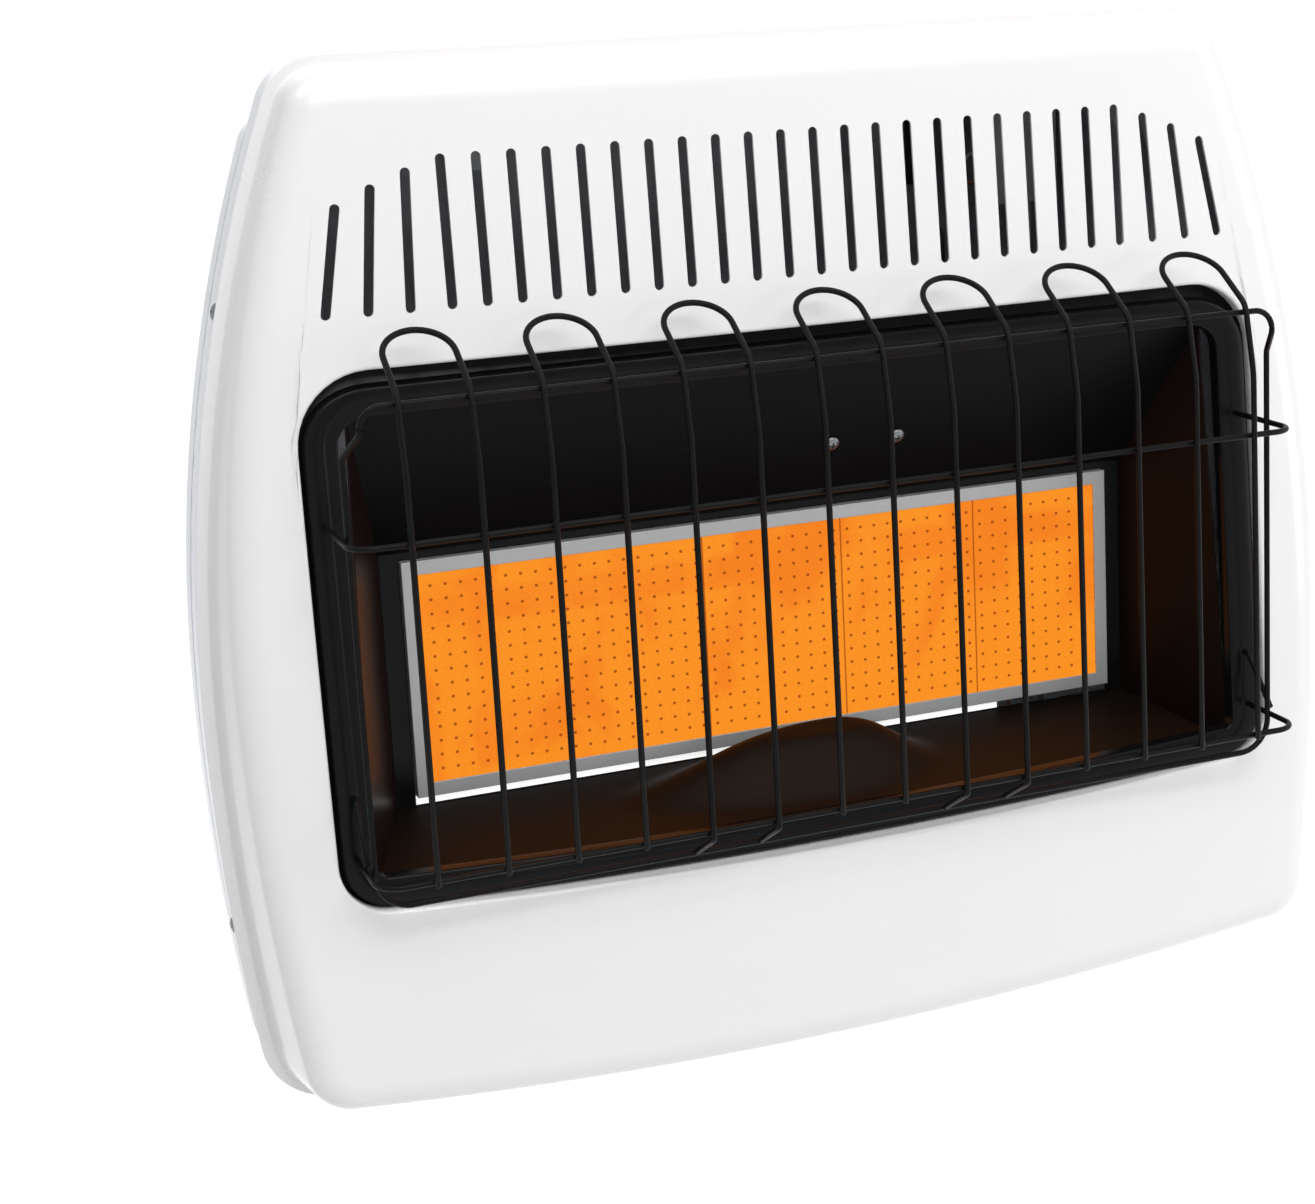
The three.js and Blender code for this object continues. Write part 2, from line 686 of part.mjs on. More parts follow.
function hump(x, out) {
  const reach = x < HUMP_X ? HUMP_LEFT : HUMP_RIGHT;
  const away = Math.hypot((x - HUMP_X) / reach, (out - HUMP_OUT) / HUMP_HALF_DEPTH);
  const down = THREE.MathUtils.clamp((away - HUMP_FLAT) / (1 - HUMP_FLAT), 0, 1);
  return HUMP_HEIGHT * Math.cos((Math.PI / 2) * down) ** 2;
}

function bottomTray() {
  const across = 20;
  const deep = 8;
  const upper = [];
  for (let j = 0; j <= deep; j += 1) {
    const out = TRAY_FRONT_OUT + ((REFLECTOR_OUT - TRAY_FRONT_OUT) * j) / deep;
    const half = reflectorHalf(out) + SIDE_COVER;
    for (let i = 0; i <= across; i += 1) {
      const turn = (i / across) * 2 - 1;
      const x = half * (0.35 * turn + 0.65 * turn ** 3);
      upper.push(point(x, out, trayZ(out) + hump(x, out)));
    }
  }
  const lower = upper.map((p) => p.clone().setZ(p.z - THIN));
  const row = across + 1;
  const shift = upper.length;
  const faces = [];
  const quad = (a, b, c, d) => faces.push(a, b, c, a, c, d);
  for (let j = 0; j < deep; j += 1) {
    for (let i = 0; i < across; i += 1) {
      const a = j * row + i;
      quad(a, a + 1, a + row + 1, a + row);
      quad(shift + a, shift + a + row, shift + a + row + 1, shift + a + 1);
    }
  }
  for (let i = 0; i < across; i += 1) {
    const rear = deep * row + i;
    quad(i, i + shift, i + 1 + shift, i + 1);
    quad(rear, rear + 1, rear + 1 + shift, rear + shift);
  }
  for (let j = 0; j < deep; j += 1) {
    const a = j * row;
    const b = a + across;
    quad(a, a + row, a + row + shift, a + shift);
    quad(b, b + shift, b + row + shift, b + row);
  }
  return facesToSolid([...upper, ...lower], faces);
}

add('bottom_tray', bottomTray(), BLACK_GLOSS);

// ---- burner

const PLAQUE_PITCH = PLAQUE_WIDTH + PLAQUE_GAP;
const PLAQUES_HALF = (PLAQUE_COUNT * PLAQUE_PITCH - PLAQUE_GAP) / 2;
const PLAQUE_HALF_TALL = PLAQUE_HEIGHT / 2;
const PLENUM_HALF = PLAQUES_HALF + BURNER_CLEAR + THIN;
const PLENUM_HALF_TALL = PLAQUE_HALF_TALL + BURNER_CLEAR + THIN;
const FRAME_HALF = PLENUM_HALF + GAP + THIN;
const FRAME_HALF_TALL = PLENUM_HALF_TALL + GAP + THIN;
const PLAQUE_BACK_OUT = PLAQUE_OUT - PLAQUE_THICK;
const GASKET_THICK = 3;
const GASKET_WIDTH = 8;
const LEDGE_OUT = PLAQUE_BACK_OUT - GASKET_THICK - 2 * GAP;
const FRAME_FRONT_OUT = PLAQUE_OUT + GAP + THIN;
const SURROUND_OUT = REFLECTOR_OUT - GAP;
const SURROUND_BAR = 19;
const STRIP_SHOWS = 5.5;

// A box round the burner's centre line.
function burnerBlock(half, halfTall, out0, out1) {
  return block(-half, half, out0, out1, BURNER_HEIGHT - halfTall, BURNER_HEIGHT + halfTall);
}

for (let i = 0; i < PLAQUE_COUNT; i += 1) {
  const x = -PLAQUES_HALF + i * PLAQUE_PITCH;
  const low = BURNER_HEIGHT - PLAQUE_HALF_TALL;
  const tile = block(x, x + PLAQUE_WIDTH, PLAQUE_BACK_OUT, PLAQUE_OUT, low, low + PLAQUE_HEIGHT);
  add(`ceramic_plaque_${i + 1}`, tile, CERAMIC);
}

const gasketBack = PLAQUE_BACK_OUT - GAP - GASKET_THICK;
add('plaque_gasket', cut(
  burnerBlock(PLAQUES_HALF, PLAQUE_HALF_TALL, gasketBack, PLAQUE_BACK_OUT - GAP),
  [burnerBlock(PLAQUES_HALF - GASKET_WIDTH, PLAQUE_HALF_TALL - GASKET_WIDTH, 0, BIG)],
), WOOL);

const INLET_RADIUS = 17;
const VENTURI_OUT = CONTROL_OUT;
const plenumMouth = rod(
  INLET_RADIUS + GAP, point(0, VENTURI_OUT, BURNER_HEIGHT), point(0, LEDGE_OUT, BURNER_HEIGHT), 24,
);
add('burner_plenum', cut(
  burnerBlock(PLENUM_HALF, PLENUM_HALF_TALL, PLENUM_BACK_OUT, PLAQUE_OUT),
  [
    burnerBlock(PLENUM_HALF - THIN, PLENUM_HALF_TALL - THIN, LEDGE_OUT, BIG),
    burnerBlock(PLENUM_HALF - THIN, PLENUM_HALF_TALL - THIN, PLENUM_BACK_OUT + THIN, LEDGE_OUT - THIN),
    burnerBlock(PLENUM_HALF - GASKET_WIDTH, PLENUM_HALF_TALL - GASKET_WIDTH, PLENUM_BACK_OUT + THIN, BIG),
    plenumMouth,
  ],
), ALUMINISED);

add('burner_frame', cut(
  burnerBlock(FRAME_HALF, FRAME_HALF_TALL, FRAME_FRONT_OUT - FRAME_SKIRT, FRAME_FRONT_OUT),
  [
    burnerBlock(FRAME_HALF - THIN, FRAME_HALF_TALL - THIN, 0, FRAME_FRONT_OUT - THIN),
    burnerBlock(FRAME_HALF - FRAME_BORDER, FRAME_HALF_TALL - FRAME_BORDER, 0, BIG),
  ],
), ALUMINISED);

// The black surround carries the reflectors' rear edges; its opening is taller than the burner frame
// at the bottom, where the bright deflector shows.
const surroundHalf = FRAME_HALF + 2 * GAP;
const frameTop = BURNER_HEIGHT + FRAME_HALF_TALL;
const frameBottom = BURNER_HEIGHT - FRAME_HALF_TALL;
add('burner_surround', cut(
  block(
    -surroundHalf - SURROUND_BAR, surroundHalf + SURROUND_BAR, SURROUND_OUT - THIN, SURROUND_OUT,
    frameBottom - STRIP_SHOWS - SURROUND_BAR / 2, frameTop + SURROUND_BAR,
  ),
  [block(-surroundHalf, surroundHalf, 0, BIG, frameBottom - STRIP_SHOWS, frameTop + 2 * GAP)],
), BLACK_GLOSS);

const STRIP_RIGHT_END = 156;
const STRIP_TALL = 20;
const TONGUE_HALF = 30;
const TONGUE_BOTTOM = 118;
const deflectorOut = SURROUND_OUT - THIN - GAP;
const stripTop = frameBottom - GAP;
add('lower_deflector', join([
  block(-FRAME_HALF, STRIP_RIGHT_END, deflectorOut - THIN, deflectorOut, stripTop - STRIP_TALL, stripTop),
  block(-TONGUE_HALF, TONGUE_HALF, deflectorOut - THIN, deflectorOut, TONGUE_BOTTOM, stripTop),
]), ALUMINISED);

const ARM_HALF_TALL = 35;
const ARM_FOOT = 18;
const caseBack = SHEET + GAP;
LEFT_AND_RIGHT.forEach(([name, side]) => {
  const near = PLENUM_HALF + GAP;
  const low = BURNER_HEIGHT - ARM_HALF_TALL;
  const high = BURNER_HEIGHT + ARM_HALF_TALL;
  const ends = (a, b) => [Math.min(side * a, side * b), Math.max(side * a, side * b)];
  const frontOut = FRAME_FRONT_OUT - FRAME_SKIRT - GAP;
  add(`burner_bracket_${name}`, join([
    block(...ends(near, near + THIN), caseBack, frontOut, low, high),
    block(...ends(near, near + ARM_FOOT), caseBack, caseBack + THIN, low, high),
  ]), GALVANISED);
});

// ---- venturi: a bell mouth on the right, a throat, and an elbow into the plenum

const VENTURI_MOUTH_X = 150;
const VENTURI_WALL = 1.5;
const THROAT_RADIUS = 12;
const THROAT_LENGTH = 20;
const BELL_RADIUS = 22;
const BELL_LIP = 4;
const BELL_LENGTH = 25; // from the throat to the mouth
const TAPER_LENGTH = 65; // from the straight tube to the throat
const venturiAxis = new THREE.Vector3(1, 0, 0);
const venturiStart = point(-INLET_RADIUS, VENTURI_OUT, BURNER_HEIGHT);

function venturiProfile(shrink, overrun) {
  const end = VENTURI_MOUTH_X + INLET_RADIUS;
  const throatEnd = end - BELL_LENGTH;
  const throatStart = throatEnd - THROAT_LENGTH;
  return [
    [0, shrink],
    [INLET_RADIUS - shrink, shrink],
    [INLET_RADIUS - shrink, throatStart - TAPER_LENGTH],
    [THROAT_RADIUS - shrink, throatStart],
    [THROAT_RADIUS - shrink, throatEnd],
    [BELL_RADIUS - shrink, end - BELL_LIP],
    [BELL_RADIUS - shrink, end + overrun],
    [0, end + overrun],
  ];
}

const elbowEnd = PLENUM_BACK_OUT + THIN;
const elbow = (radius, out) => rod(
  radius, point(0, VENTURI_OUT, BURNER_HEIGHT), point(0, out, BURNER_HEIGHT),
);
add('venturi_tube', cut(join([
  turned(venturiProfile(0, 0), venturiStart, venturiAxis),
  elbow(INLET_RADIUS, elbowEnd),
]), [
  turned(venturiProfile(VENTURI_WALL, 1), venturiStart, venturiAxis),
  elbow(INLET_RADIUS - VENTURI_WALL, elbowEnd + 1),
]), ALUMINISED);

const ORIFICE_TIP_X = VENTURI_MOUTH_X - 8;
const ORIFICE_LENGTH = 28;
const ORIFICE_RADIUS = 6;
const ORIFICE_TAPER = 8;
const ORIFICE_HEX_START = 14;
const ORIFICE_HEX_RADIUS = 8;
const MANIFOLD_RADIUS = 4;
add('gas_orifice', turned([
  [0, 0],
  [2, 0],
  [ORIFICE_RADIUS, ORIFICE_TAPER],
  [ORIFICE_RADIUS, ORIFICE_HEX_START],
  [ORIFICE_HEX_RADIUS, ORIFICE_HEX_START],
  [ORIFICE_HEX_RADIUS, ORIFICE_LENGTH],
  [0, ORIFICE_LENGTH],
], point(ORIFICE_TIP_X, VENTURI_OUT, BURNER_HEIGHT), venturiAxis, 6), BRASS);

// ---- gas valve, knob, igniter and their pipes

const VALVE_HALF = 25;
const VALVE_HALF_DEEP = 22;
const VALVE_TALL = 62;
const ceiling = BOX_TOP - SHEET;
const valveTop = ceiling - GAP;
const valveBottom = valveTop - VALVE_TALL;
const NECK_RISE = 5.5;
const neckTop = BOX_TOP + NECK_RISE;
add('gas_valve', join([
  block(
    VALVE_X - VALVE_HALF, VALVE_X + VALVE_HALF, CONTROL_OUT - VALVE_HALF_DEEP,
    CONTROL_OUT + VALVE_HALF_DEEP, valveBottom, valveTop,
  ),
  rod(NECK_RADIUS, point(VALVE_X, CONTROL_OUT, valveTop - 1), point(VALVE_X, CONTROL_OUT, neckTop)),
]), ALUMINISED);

const DIAL_RADIUS = 34;
const dialTop = BOX_TOP + GAP + THIN;
add('dial_plate', cut(
  rod(DIAL_RADIUS, point(VALVE_X, CONTROL_OUT, BOX_TOP + GAP), point(VALVE_X, CONTROL_OUT, dialTop), 36),
  [rod(NECK_RADIUS + GAP, point(VALVE_X, CONTROL_OUT, BOX_TOP), point(VALVE_X, CONTROL_OUT, neckTop))],
), ALUMINISED);

const COLLAR_RADIUS = 11;
const COLLAR_TALL = 5;
const STEM_HALF = 3.2;
const collarBottom = neckTop + GAP;
const collarTop = collarBottom + COLLAR_TALL;
const KNOB_LIFT = 4; // left under the pushed knob
const knobBottom = dialTop + KNOB_TRAVEL + KNOB_LIFT;
const KNOB_BASE = 9;
const KNOB_TALL = 26;
const KNOB_ROOF = 3;
const knobTop = knobBottom + KNOB_TALL;
const boreTop = knobTop - KNOB_ROOF;
const stemTop = boreTop - KNOB_TRAVEL - 1;
add('valve_collar', join([
  rod(COLLAR_RADIUS, point(VALVE_X, CONTROL_OUT, collarBottom), point(VALVE_X, CONTROL_OUT, collarTop)),
  block(
    VALVE_X - STEM_HALF, VALVE_X + STEM_HALF, CONTROL_OUT - STEM_HALF, CONTROL_OUT + STEM_HALF,
    collarTop - 1, stemTop,
  ),
]), BRASS);

const GRIP_HALF = 6;
const knobAt = point(VALVE_X, CONTROL_OUT, knobBottom);
const boreHalf = STEM_HALF + GAP;
add('control_knob', cut(join([
  turned([
    [0, 0], [KNOB_RADIUS, 0], [KNOB_RADIUS, KNOB_BASE - 2], [KNOB_RADIUS - 2, KNOB_BASE], [0, KNOB_BASE],
  ], knobAt, UP, 32),
  block(
    VALVE_X - GRIP_HALF, VALVE_X + GRIP_HALF, CONTROL_OUT - KNOB_RADIUS + 2,
    CONTROL_OUT + KNOB_RADIUS - 2, knobBottom + KNOB_BASE - 1, knobTop,
  ),
]), [
  rod(
    COLLAR_RADIUS + 2 * GAP, point(VALVE_X, CONTROL_OUT, knobBottom - 1),
    point(VALVE_X, CONTROL_OUT, collarTop + KNOB_TRAVEL + GAP),
  ),
  block(
    VALVE_X - boreHalf, VALVE_X + boreHalf, CONTROL_OUT - boreHalf, CONTROL_OUT + boreHalf,
    knobBottom - 1, boreTop,
  ),
]), BLACK_PLASTIC);

const PIEZO_RADIUS = 10;
const PIEZO_TALL = 46;
const NOSE_RADIUS = 8.8;
const BUTTON_CAP = 8.8;
const BUTTON_LENGTH = 27;
const piezoBottom = ceiling - GAP - PIEZO_TALL;
const NOSE_RISE = 4;
const noseTop = BOX_TOP + NOSE_RISE;
const capBottom = noseTop + BUTTON_TRAVEL + GAP;
const buttonBottom = capBottom - BUTTON_LENGTH;
const BUTTON_DOME = 5;
const BUTTON_EDGE = 3;
const igniterAt = (z) => point(IGNITER_X, CONTROL_OUT, z);
const buttonWell = rod(
  BUTTON_RADIUS + GAP, igniterAt(buttonBottom - BUTTON_TRAVEL - 1), igniterAt(noseTop + 1),
);
add('piezo_igniter', cut(join([
  rod(PIEZO_RADIUS, igniterAt(piezoBottom), igniterAt(ceiling - GAP)),
  rod(NOSE_RADIUS, igniterAt(piezoBottom + 1), igniterAt(noseTop)),
]), [buttonWell]), BLACK_PLASTIC);

add('igniter_button', turned([
  [0, 0],
  [BUTTON_RADIUS, 0],
  [BUTTON_RADIUS, BUTTON_LENGTH],
  [BUTTON_CAP, BUTTON_LENGTH],
  [BUTTON_CAP, BUTTON_LENGTH + BUTTON_EDGE],
  [BUTTON_CAP - 2, BUTTON_LENGTH + BUTTON_DOME],
  [0, BUTTON_LENGTH + BUTTON_DOME],
], igniterAt(buttonBottom)), RED_PLASTIC);

const PORT_SPREAD = 13;
const manifoldX = VALVE_X - PORT_SPREAD;
const supplyX = VALVE_X + PORT_SPREAD;
const MANIFOLD_BEND = 18;
add('manifold_pipe', wire(bent([
  point(manifoldX, CONTROL_OUT, valveBottom - GAP),
  point(manifoldX, CONTROL_OUT, BURNER_HEIGHT),
  point(ORIFICE_TIP_X + ORIFICE_LENGTH + GAP, CONTROL_OUT, BURNER_HEIGHT),
], MANIFOLD_BEND, 6), MANIFOLD_RADIUS), COPPER);

const REGULATOR_BOTTOM = 62;
const REGULATOR_TALL = 56;
const REGULATOR_RADIUS = 26;
const REGULATOR_NECK = 10; // radius and length of each end
const REGULATOR_SHOULDER = 4;
const REGULATOR_EDGE = 6;
const SUPPLY_RADIUS = 5;
const regulatorTop = REGULATOR_BOTTOM + REGULATOR_TALL;
const regulatorHalf = [
  [REGULATOR_NECK, 0],
  [REGULATOR_NECK, REGULATOR_NECK],
  [REGULATOR_RADIUS - 2, REGULATOR_NECK + REGULATOR_SHOULDER],
  [REGULATOR_RADIUS, REGULATOR_NECK + REGULATOR_SHOULDER + REGULATOR_EDGE],
];
add('gas_regulator', turned([
  [0, 0],
  ...regulatorHalf,
  ...regulatorHalf.map(([radius, height]) => [radius, REGULATOR_TALL - height]).reverse(),
  [0, REGULATOR_TALL],
], point(supplyX, CONTROL_OUT, REGULATOR_BOTTOM), UP, 18), ALUMINISED);
add('supply_pipe', rod(
  SUPPLY_RADIUS, point(supplyX, CONTROL_OUT, regulatorTop + GAP),
  point(supplyX, CONTROL_OUT, valveBottom - GAP), 12,
), GALVANISED);

const FITTING_RADIUS = 8;
const FITTING_BOTTOM = 14;
const HEX_RADIUS = 13;
const HEX_TALL = 10;
const hexTop = BOX_BOTTOM - GAP;
add('inlet_fitting', join([
  rod(HEX_RADIUS, point(supplyX, CONTROL_OUT, hexTop - HEX_TALL), point(supplyX, CONTROL_OUT, hexTop), 6),
  turned([
    [0, 0], [5, 0], [FITTING_RADIUS, 3], [FITTING_RADIUS, REGULATOR_BOTTOM - GAP - FITTING_BOTTOM],
    [0, REGULATOR_BOTTOM - GAP - FITTING_BOTTOM],
  ], point(supplyX, CONTROL_OUT, FITTING_BOTTOM), UP, 16),
]), BRASS);

// ---- pilot, on a small shelf in front of the deflector's tongue and under the tray's hump

const PILOT_OUT = 172;
const PROBE_SPREAD = 16;
const SHELF_TOP = 150;
const SHELF_OUT = 186;
const PILOT_BASE = 130;
const PILOT_RADIUS = 4.5;
const PILOT_TALL = 38;
const PILOT_CAP = 6;
const PROBE_RADIUS = 2.5;
const PROBE_TALL = 45;
const PROBE_TIP = 3;
const ELECTRODE_RADIUS = 3.2;
const PORCELAIN_TALL = 30;
const ELECTRODE_ROD_RADIUS = 0.9;
const ELECTRODE_TALL = 42;
const shelfBack = deflectorOut + GAP;

function shelfHole(x, radius) {
  return rod(radius + GAP, point(x, PILOT_OUT, PILOT_BASE), point(x, PILOT_OUT, SHELF_TOP + 1), 12);
}

add('pilot_bracket', cut(join([
  block(-TONGUE_HALF, TONGUE_HALF, shelfBack, SHELF_OUT, SHELF_TOP - THIN, SHELF_TOP),
  block(-TONGUE_HALF, TONGUE_HALF, shelfBack, shelfBack + THIN, TONGUE_BOTTOM, SHELF_TOP),
]), [
  shelfHole(0, PILOT_RADIUS),
  shelfHole(PROBE_SPREAD, PROBE_RADIUS),
  shelfHole(-PROBE_SPREAD, ELECTRODE_RADIUS),
]), GALVANISED);
add('pilot_burner', turned([
  [0, 0],
  [PILOT_RADIUS, 0],
  [PILOT_RADIUS, PILOT_TALL - PILOT_CAP],
  [PILOT_RADIUS - 1, PILOT_TALL],
  [0, PILOT_TALL],
], point(0, PILOT_OUT, PILOT_BASE), UP, 12), BRASS);
add('thermocouple_probe', turned([
  [0, 0],
  [PROBE_RADIUS, 0],
  [PROBE_RADIUS, PROBE_TALL - PROBE_TIP],
  [1, PROBE_TALL],
  [0, PROBE_TALL],
], point(PROBE_SPREAD, PILOT_OUT, PILOT_BASE), UP, 12), GALVANISED);
add('igniter_electrode', turned([
  [0, 0],
  [ELECTRODE_RADIUS, 0],
  [ELECTRODE_RADIUS, PORCELAIN_TALL],
  [ELECTRODE_ROD_RADIUS, PORCELAIN_TALL + 1],
  [ELECTRODE_ROD_RADIUS, ELECTRODE_TALL],
  [0, ELECTRODE_TALL],
], point(-PROBE_SPREAD, PILOT_OUT, PILOT_BASE), UP, 12), PORCELAIN);

// Thin lines from the pilot run below the tray, then up behind the burner to the valve and igniter.
const valveLeft = VALVE_X - VALVE_HALF - GAP;
const LINE_BEND = 8;
const LINE_SLANT = 30; // where each line turns towards the wall
const PILOT_TUBE = { radius: 2, low: 92, riseX: 176, riseOut: 70, portDrop: 28 };
const LEAD = { radius: 1.5, low: 104, riseX: 166, riseOut: 80, portDrop: 46 };
const IGNITER_WIRE = { radius: 1.6, low: 82, riseOut: 90, slackDrop: 30, plugDrop: 14 };

function pilotLine(x, line) {
  const port = valveTop - line.portDrop;
  return wire(bent([
    point(x, PILOT_OUT, PILOT_BASE - GAP),
    point(x, PILOT_OUT, line.low),
    point(line.riseX - LINE_SLANT, PILOT_OUT, line.low),
    point(line.riseX, line.riseOut, line.low),
    point(line.riseX, line.riseOut, port),
    point(valveLeft, line.riseOut, port),
  ], LINE_BEND, 3), line.radius, 6);
}

add('pilot_tube', pilotLine(0, PILOT_TUBE), ALUMINISED);
add('thermocouple_lead', pilotLine(PROBE_SPREAD, LEAD), COPPER);
add('igniter_wire', wire(bent([
  point(-PROBE_SPREAD, PILOT_OUT, PILOT_BASE - GAP),
  point(-PROBE_SPREAD, PILOT_OUT, IGNITER_WIRE.low),
  point(IGNITER_X - LINE_SLANT, PILOT_OUT, IGNITER_WIRE.low),
  point(IGNITER_X, IGNITER_WIRE.riseOut, IGNITER_WIRE.low),
  point(IGNITER_X, IGNITER_WIRE.riseOut, piezoBottom - IGNITER_WIRE.slackDrop),
  point(IGNITER_X, CONTROL_OUT, piezoBottom - IGNITER_WIRE.plugDrop),
  point(IGNITER_X, CONTROL_OUT, piezoBottom - GAP),
], [LINE_BEND, LINE_BEND, LINE_BEND, LINE_BEND, LINE_BEND / 2], 3), IGNITER_WIRE.radius, 6), BLACK_PLASTIC);

const BULB_OUT = 78;
const BULB_HEIGHT = 66;
const BULB_LEFT = 20;
const BULB_RIGHT = 120;
const BULB_RADIUS = 4;
const CAPILLARY_X = 196;
const CAPILLARY_BEND = 12;
const CLIP_HALF = 5;
const CLIP_FOOT = 10;
const CLIP_RING = 2;
add('thermostat_bulb', rod(
  BULB_RADIUS, point(BULB_LEFT, BULB_OUT, BULB_HEIGHT), point(BULB_RIGHT, BULB_OUT, BULB_HEIGHT), 12,
), COPPER);
add('capillary_tube', wire(bent([
  point(CAPILLARY_X, BULB_OUT, valveBottom - GAP),
  point(CAPILLARY_X, BULB_OUT, BULB_HEIGHT),
  point(BULB_RIGHT + GAP, BULB_OUT, BULB_HEIGHT),
], CAPILLARY_BEND, 5), 1, 6), COPPER);

const clipX0 = (BULB_LEFT + BULB_RIGHT) / 2 - CLIP_HALF;
const clipX1 = clipX0 + 2 * CLIP_HALF;
const clipHole = rod(
  BULB_RADIUS + GAP, point(BULB_LEFT, BULB_OUT, BULB_HEIGHT), point(BULB_RIGHT, BULB_OUT, BULB_HEIGHT), 16,
);
const clipBottom = BOX_BOTTOM + SHEET + GAP;
add('bulb_clip', cut(join([
  block(clipX0, clipX1, BULB_OUT - CLIP_FOOT, BULB_OUT + CLIP_FOOT, clipBottom, clipBottom + THIN),
  block(clipX0, clipX1, BULB_OUT - 1, BULB_OUT + 1, clipBottom, BULB_HEIGHT),
  rod(BULB_RADIUS + CLIP_RING, point(clipX0, BULB_OUT, BULB_HEIGHT), point(clipX1, BULB_OUT, BULB_HEIGHT)),
]), [clipHole]), GALVANISED);

// ---- rear case and wall bracket

const bracketLow = BRACKET_HEIGHT - BRACKET_TALL / 2;
const bracketHigh = BRACKET_HEIGHT + BRACKET_TALL / 2;
const recessOut = BRACKET_SHEET + GAP;
const hookFront = recessOut + SHEET + GAP;

function hookTab(side) {
  const x0 = side * HOOK_X - HOOK_WIDTH / 2;
  const x1 = side * HOOK_X + HOOK_WIDTH / 2;
  const low = bracketHigh - BRACKET_SHEET;
  return join([
    block(x0, x1, 0, hookFront + BRACKET_SHEET, low, bracketHigh),
    block(x0, x1, hookFront, hookFront + BRACKET_SHEET, low, bracketHigh + HOOK_RISE),
  ]);
}

const screwSpots = [-1, 1].map((side) => rod(
  WALL_SCREW_HOLE / 2, point(side * WALL_SCREW_X, -1, BRACKET_HEIGHT),
  point(side * WALL_SCREW_X, BIG, BRACKET_HEIGHT), 16,
));
add('wall_bracket', cut(join([
  block(-BRACKET_HALF, BRACKET_HALF, 0, BRACKET_SHEET, bracketLow, bracketHigh),
  hookTab(-1),
  hookTab(1),
]), screwSpots), GALVANISED);

function boxOutline(inset) {
  const half = BOX_HALF - inset;
  const low = BOX_BOTTOM + inset;
  const high = BOX_TOP - inset;
  const corner = BOX_CORNER - inset;
  const shape = new THREE.Shape();
  shape.absarc(half - corner, high - corner, corner, 0, Math.PI / 2);
  shape.absarc(corner - half, high - corner, corner, Math.PI / 2, Math.PI);
  shape.absarc(corner - half, low + corner, corner, Math.PI, 1.5 * Math.PI);
  shape.absarc(half - corner, low + corner, corner, 1.5 * Math.PI, 2 * Math.PI);
  return shape.getPoints(4);
}

function boxPrism(inset, out0, out1) {
  const geometry = new THREE.ExtrudeGeometry(new THREE.Shape(boxOutline(inset)), {
    depth: out1 - out0,
    bevelEnabled: false,
  });
  return toSolid(geometry.rotateX(Math.PI / 2).translate(0, -out0, 0));
}

const AIR_SLOT_COUNT = 8;
const AIR_SLOT_PITCH = 48;
const AIR_SLOT_WIDTH = 30;
const AIR_SLOT_OUT = 150;
const AIR_SLOT_DEPTH = 8;

function rearCase() {
  const panFront = RIM_OUT - SHEET - GAP;
  const outer = join([
    prism(CASING, CASE_INSET, PAN_STEP_OUT, panFront),
    loft([
      ring(LOW_PAN, CASE_INSET + PAN_EDGE, PAN_BACK_OUT),
      ring(LOW_PAN, CASE_INSET + 0.3 * PAN_EDGE, PAN_BACK_OUT + 0.3 * PAN_EDGE),
      ring(LOW_PAN, CASE_INSET, PAN_BACK_OUT + PAN_EDGE),
      ring(LOW_PAN, CASE_INSET, PAN_STEP_OUT + 1),
    ]),
    boxPrism(0, 0, PAN_BACK_OUT + 1),
  ]);
  const inset = CASE_INSET + SHEET;
  const recess = (grow) => block(
    -BRACKET_HALF - GAP - grow, BRACKET_HALF + GAP + grow, -1, recessOut + grow,
    bracketLow - GAP - grow, bracketHigh + HOOK_RISE + GAP + grow,
  );
  const inner = join([
    prism(CASING, inset, PAN_STEP_OUT + SHEET, BIG),
    prism(LOW_PAN, inset + PAN_EDGE / 2, PAN_BACK_OUT + SHEET, PAN_STEP_OUT + 2 * SHEET),
    boxPrism(SHEET, SHEET, PAN_BACK_OUT + 2 * SHEET).subtract(recess(SHEET)),
  ]);
  const hookSlots = [-1, 1].map((side) => block(
    side * HOOK_X - HOOK_WIDTH / 2 - GAP, side * HOOK_X + HOOK_WIDTH / 2 + GAP, 0,
    hookFront + BRACKET_SHEET, bracketHigh - BRACKET_SHEET - GAP, bracketHigh + GAP,
  ));
  const upright = (x, radius, z0, z1) => rod(radius, point(x, CONTROL_OUT, z0), point(x, CONTROL_OUT, z1));
  const airSlots = Array.from({ length: AIR_SLOT_COUNT }, (_, i) => {
    const x = (i - (AIR_SLOT_COUNT - 1) / 2) * AIR_SLOT_PITCH;
    return block(
      x - AIR_SLOT_WIDTH / 2, x + AIR_SLOT_WIDTH / 2, AIR_SLOT_OUT, AIR_SLOT_OUT + AIR_SLOT_DEPTH,
      -BOX_BOTTOM, BOX_BOTTOM,
    );
  });
  return cut(outer, [
    inner,
    recess(0),
    ...hookSlots,
    ...airSlots,
    ...SIDE_SCREWS.map(screwHole),
    upright(VALVE_X, NECK_RADIUS + GAP, BOX_TOP - BOX_CORNER, BOX_TOP + 1),
    upright(IGNITER_X, NOSE_RADIUS + GAP, BOX_TOP - BOX_CORNER, BOX_TOP + 1),
    upright(supplyX, FITTING_RADIUS + GAP, 0, BOX_BOTTOM + BOX_CORNER),
  ]);
}

add('rear_case', rearCase(), WHITE);

// ---- guard

const LEG_OUT = DEPTH - WIRE / 2; // leg axis at the bottom
const WELD = WIRE + GAP; // between the axes of two welded wires

function legOut(z) {
  return LEG_OUT - LEG_LEAN * (z - LEG_BOTTOM);
}

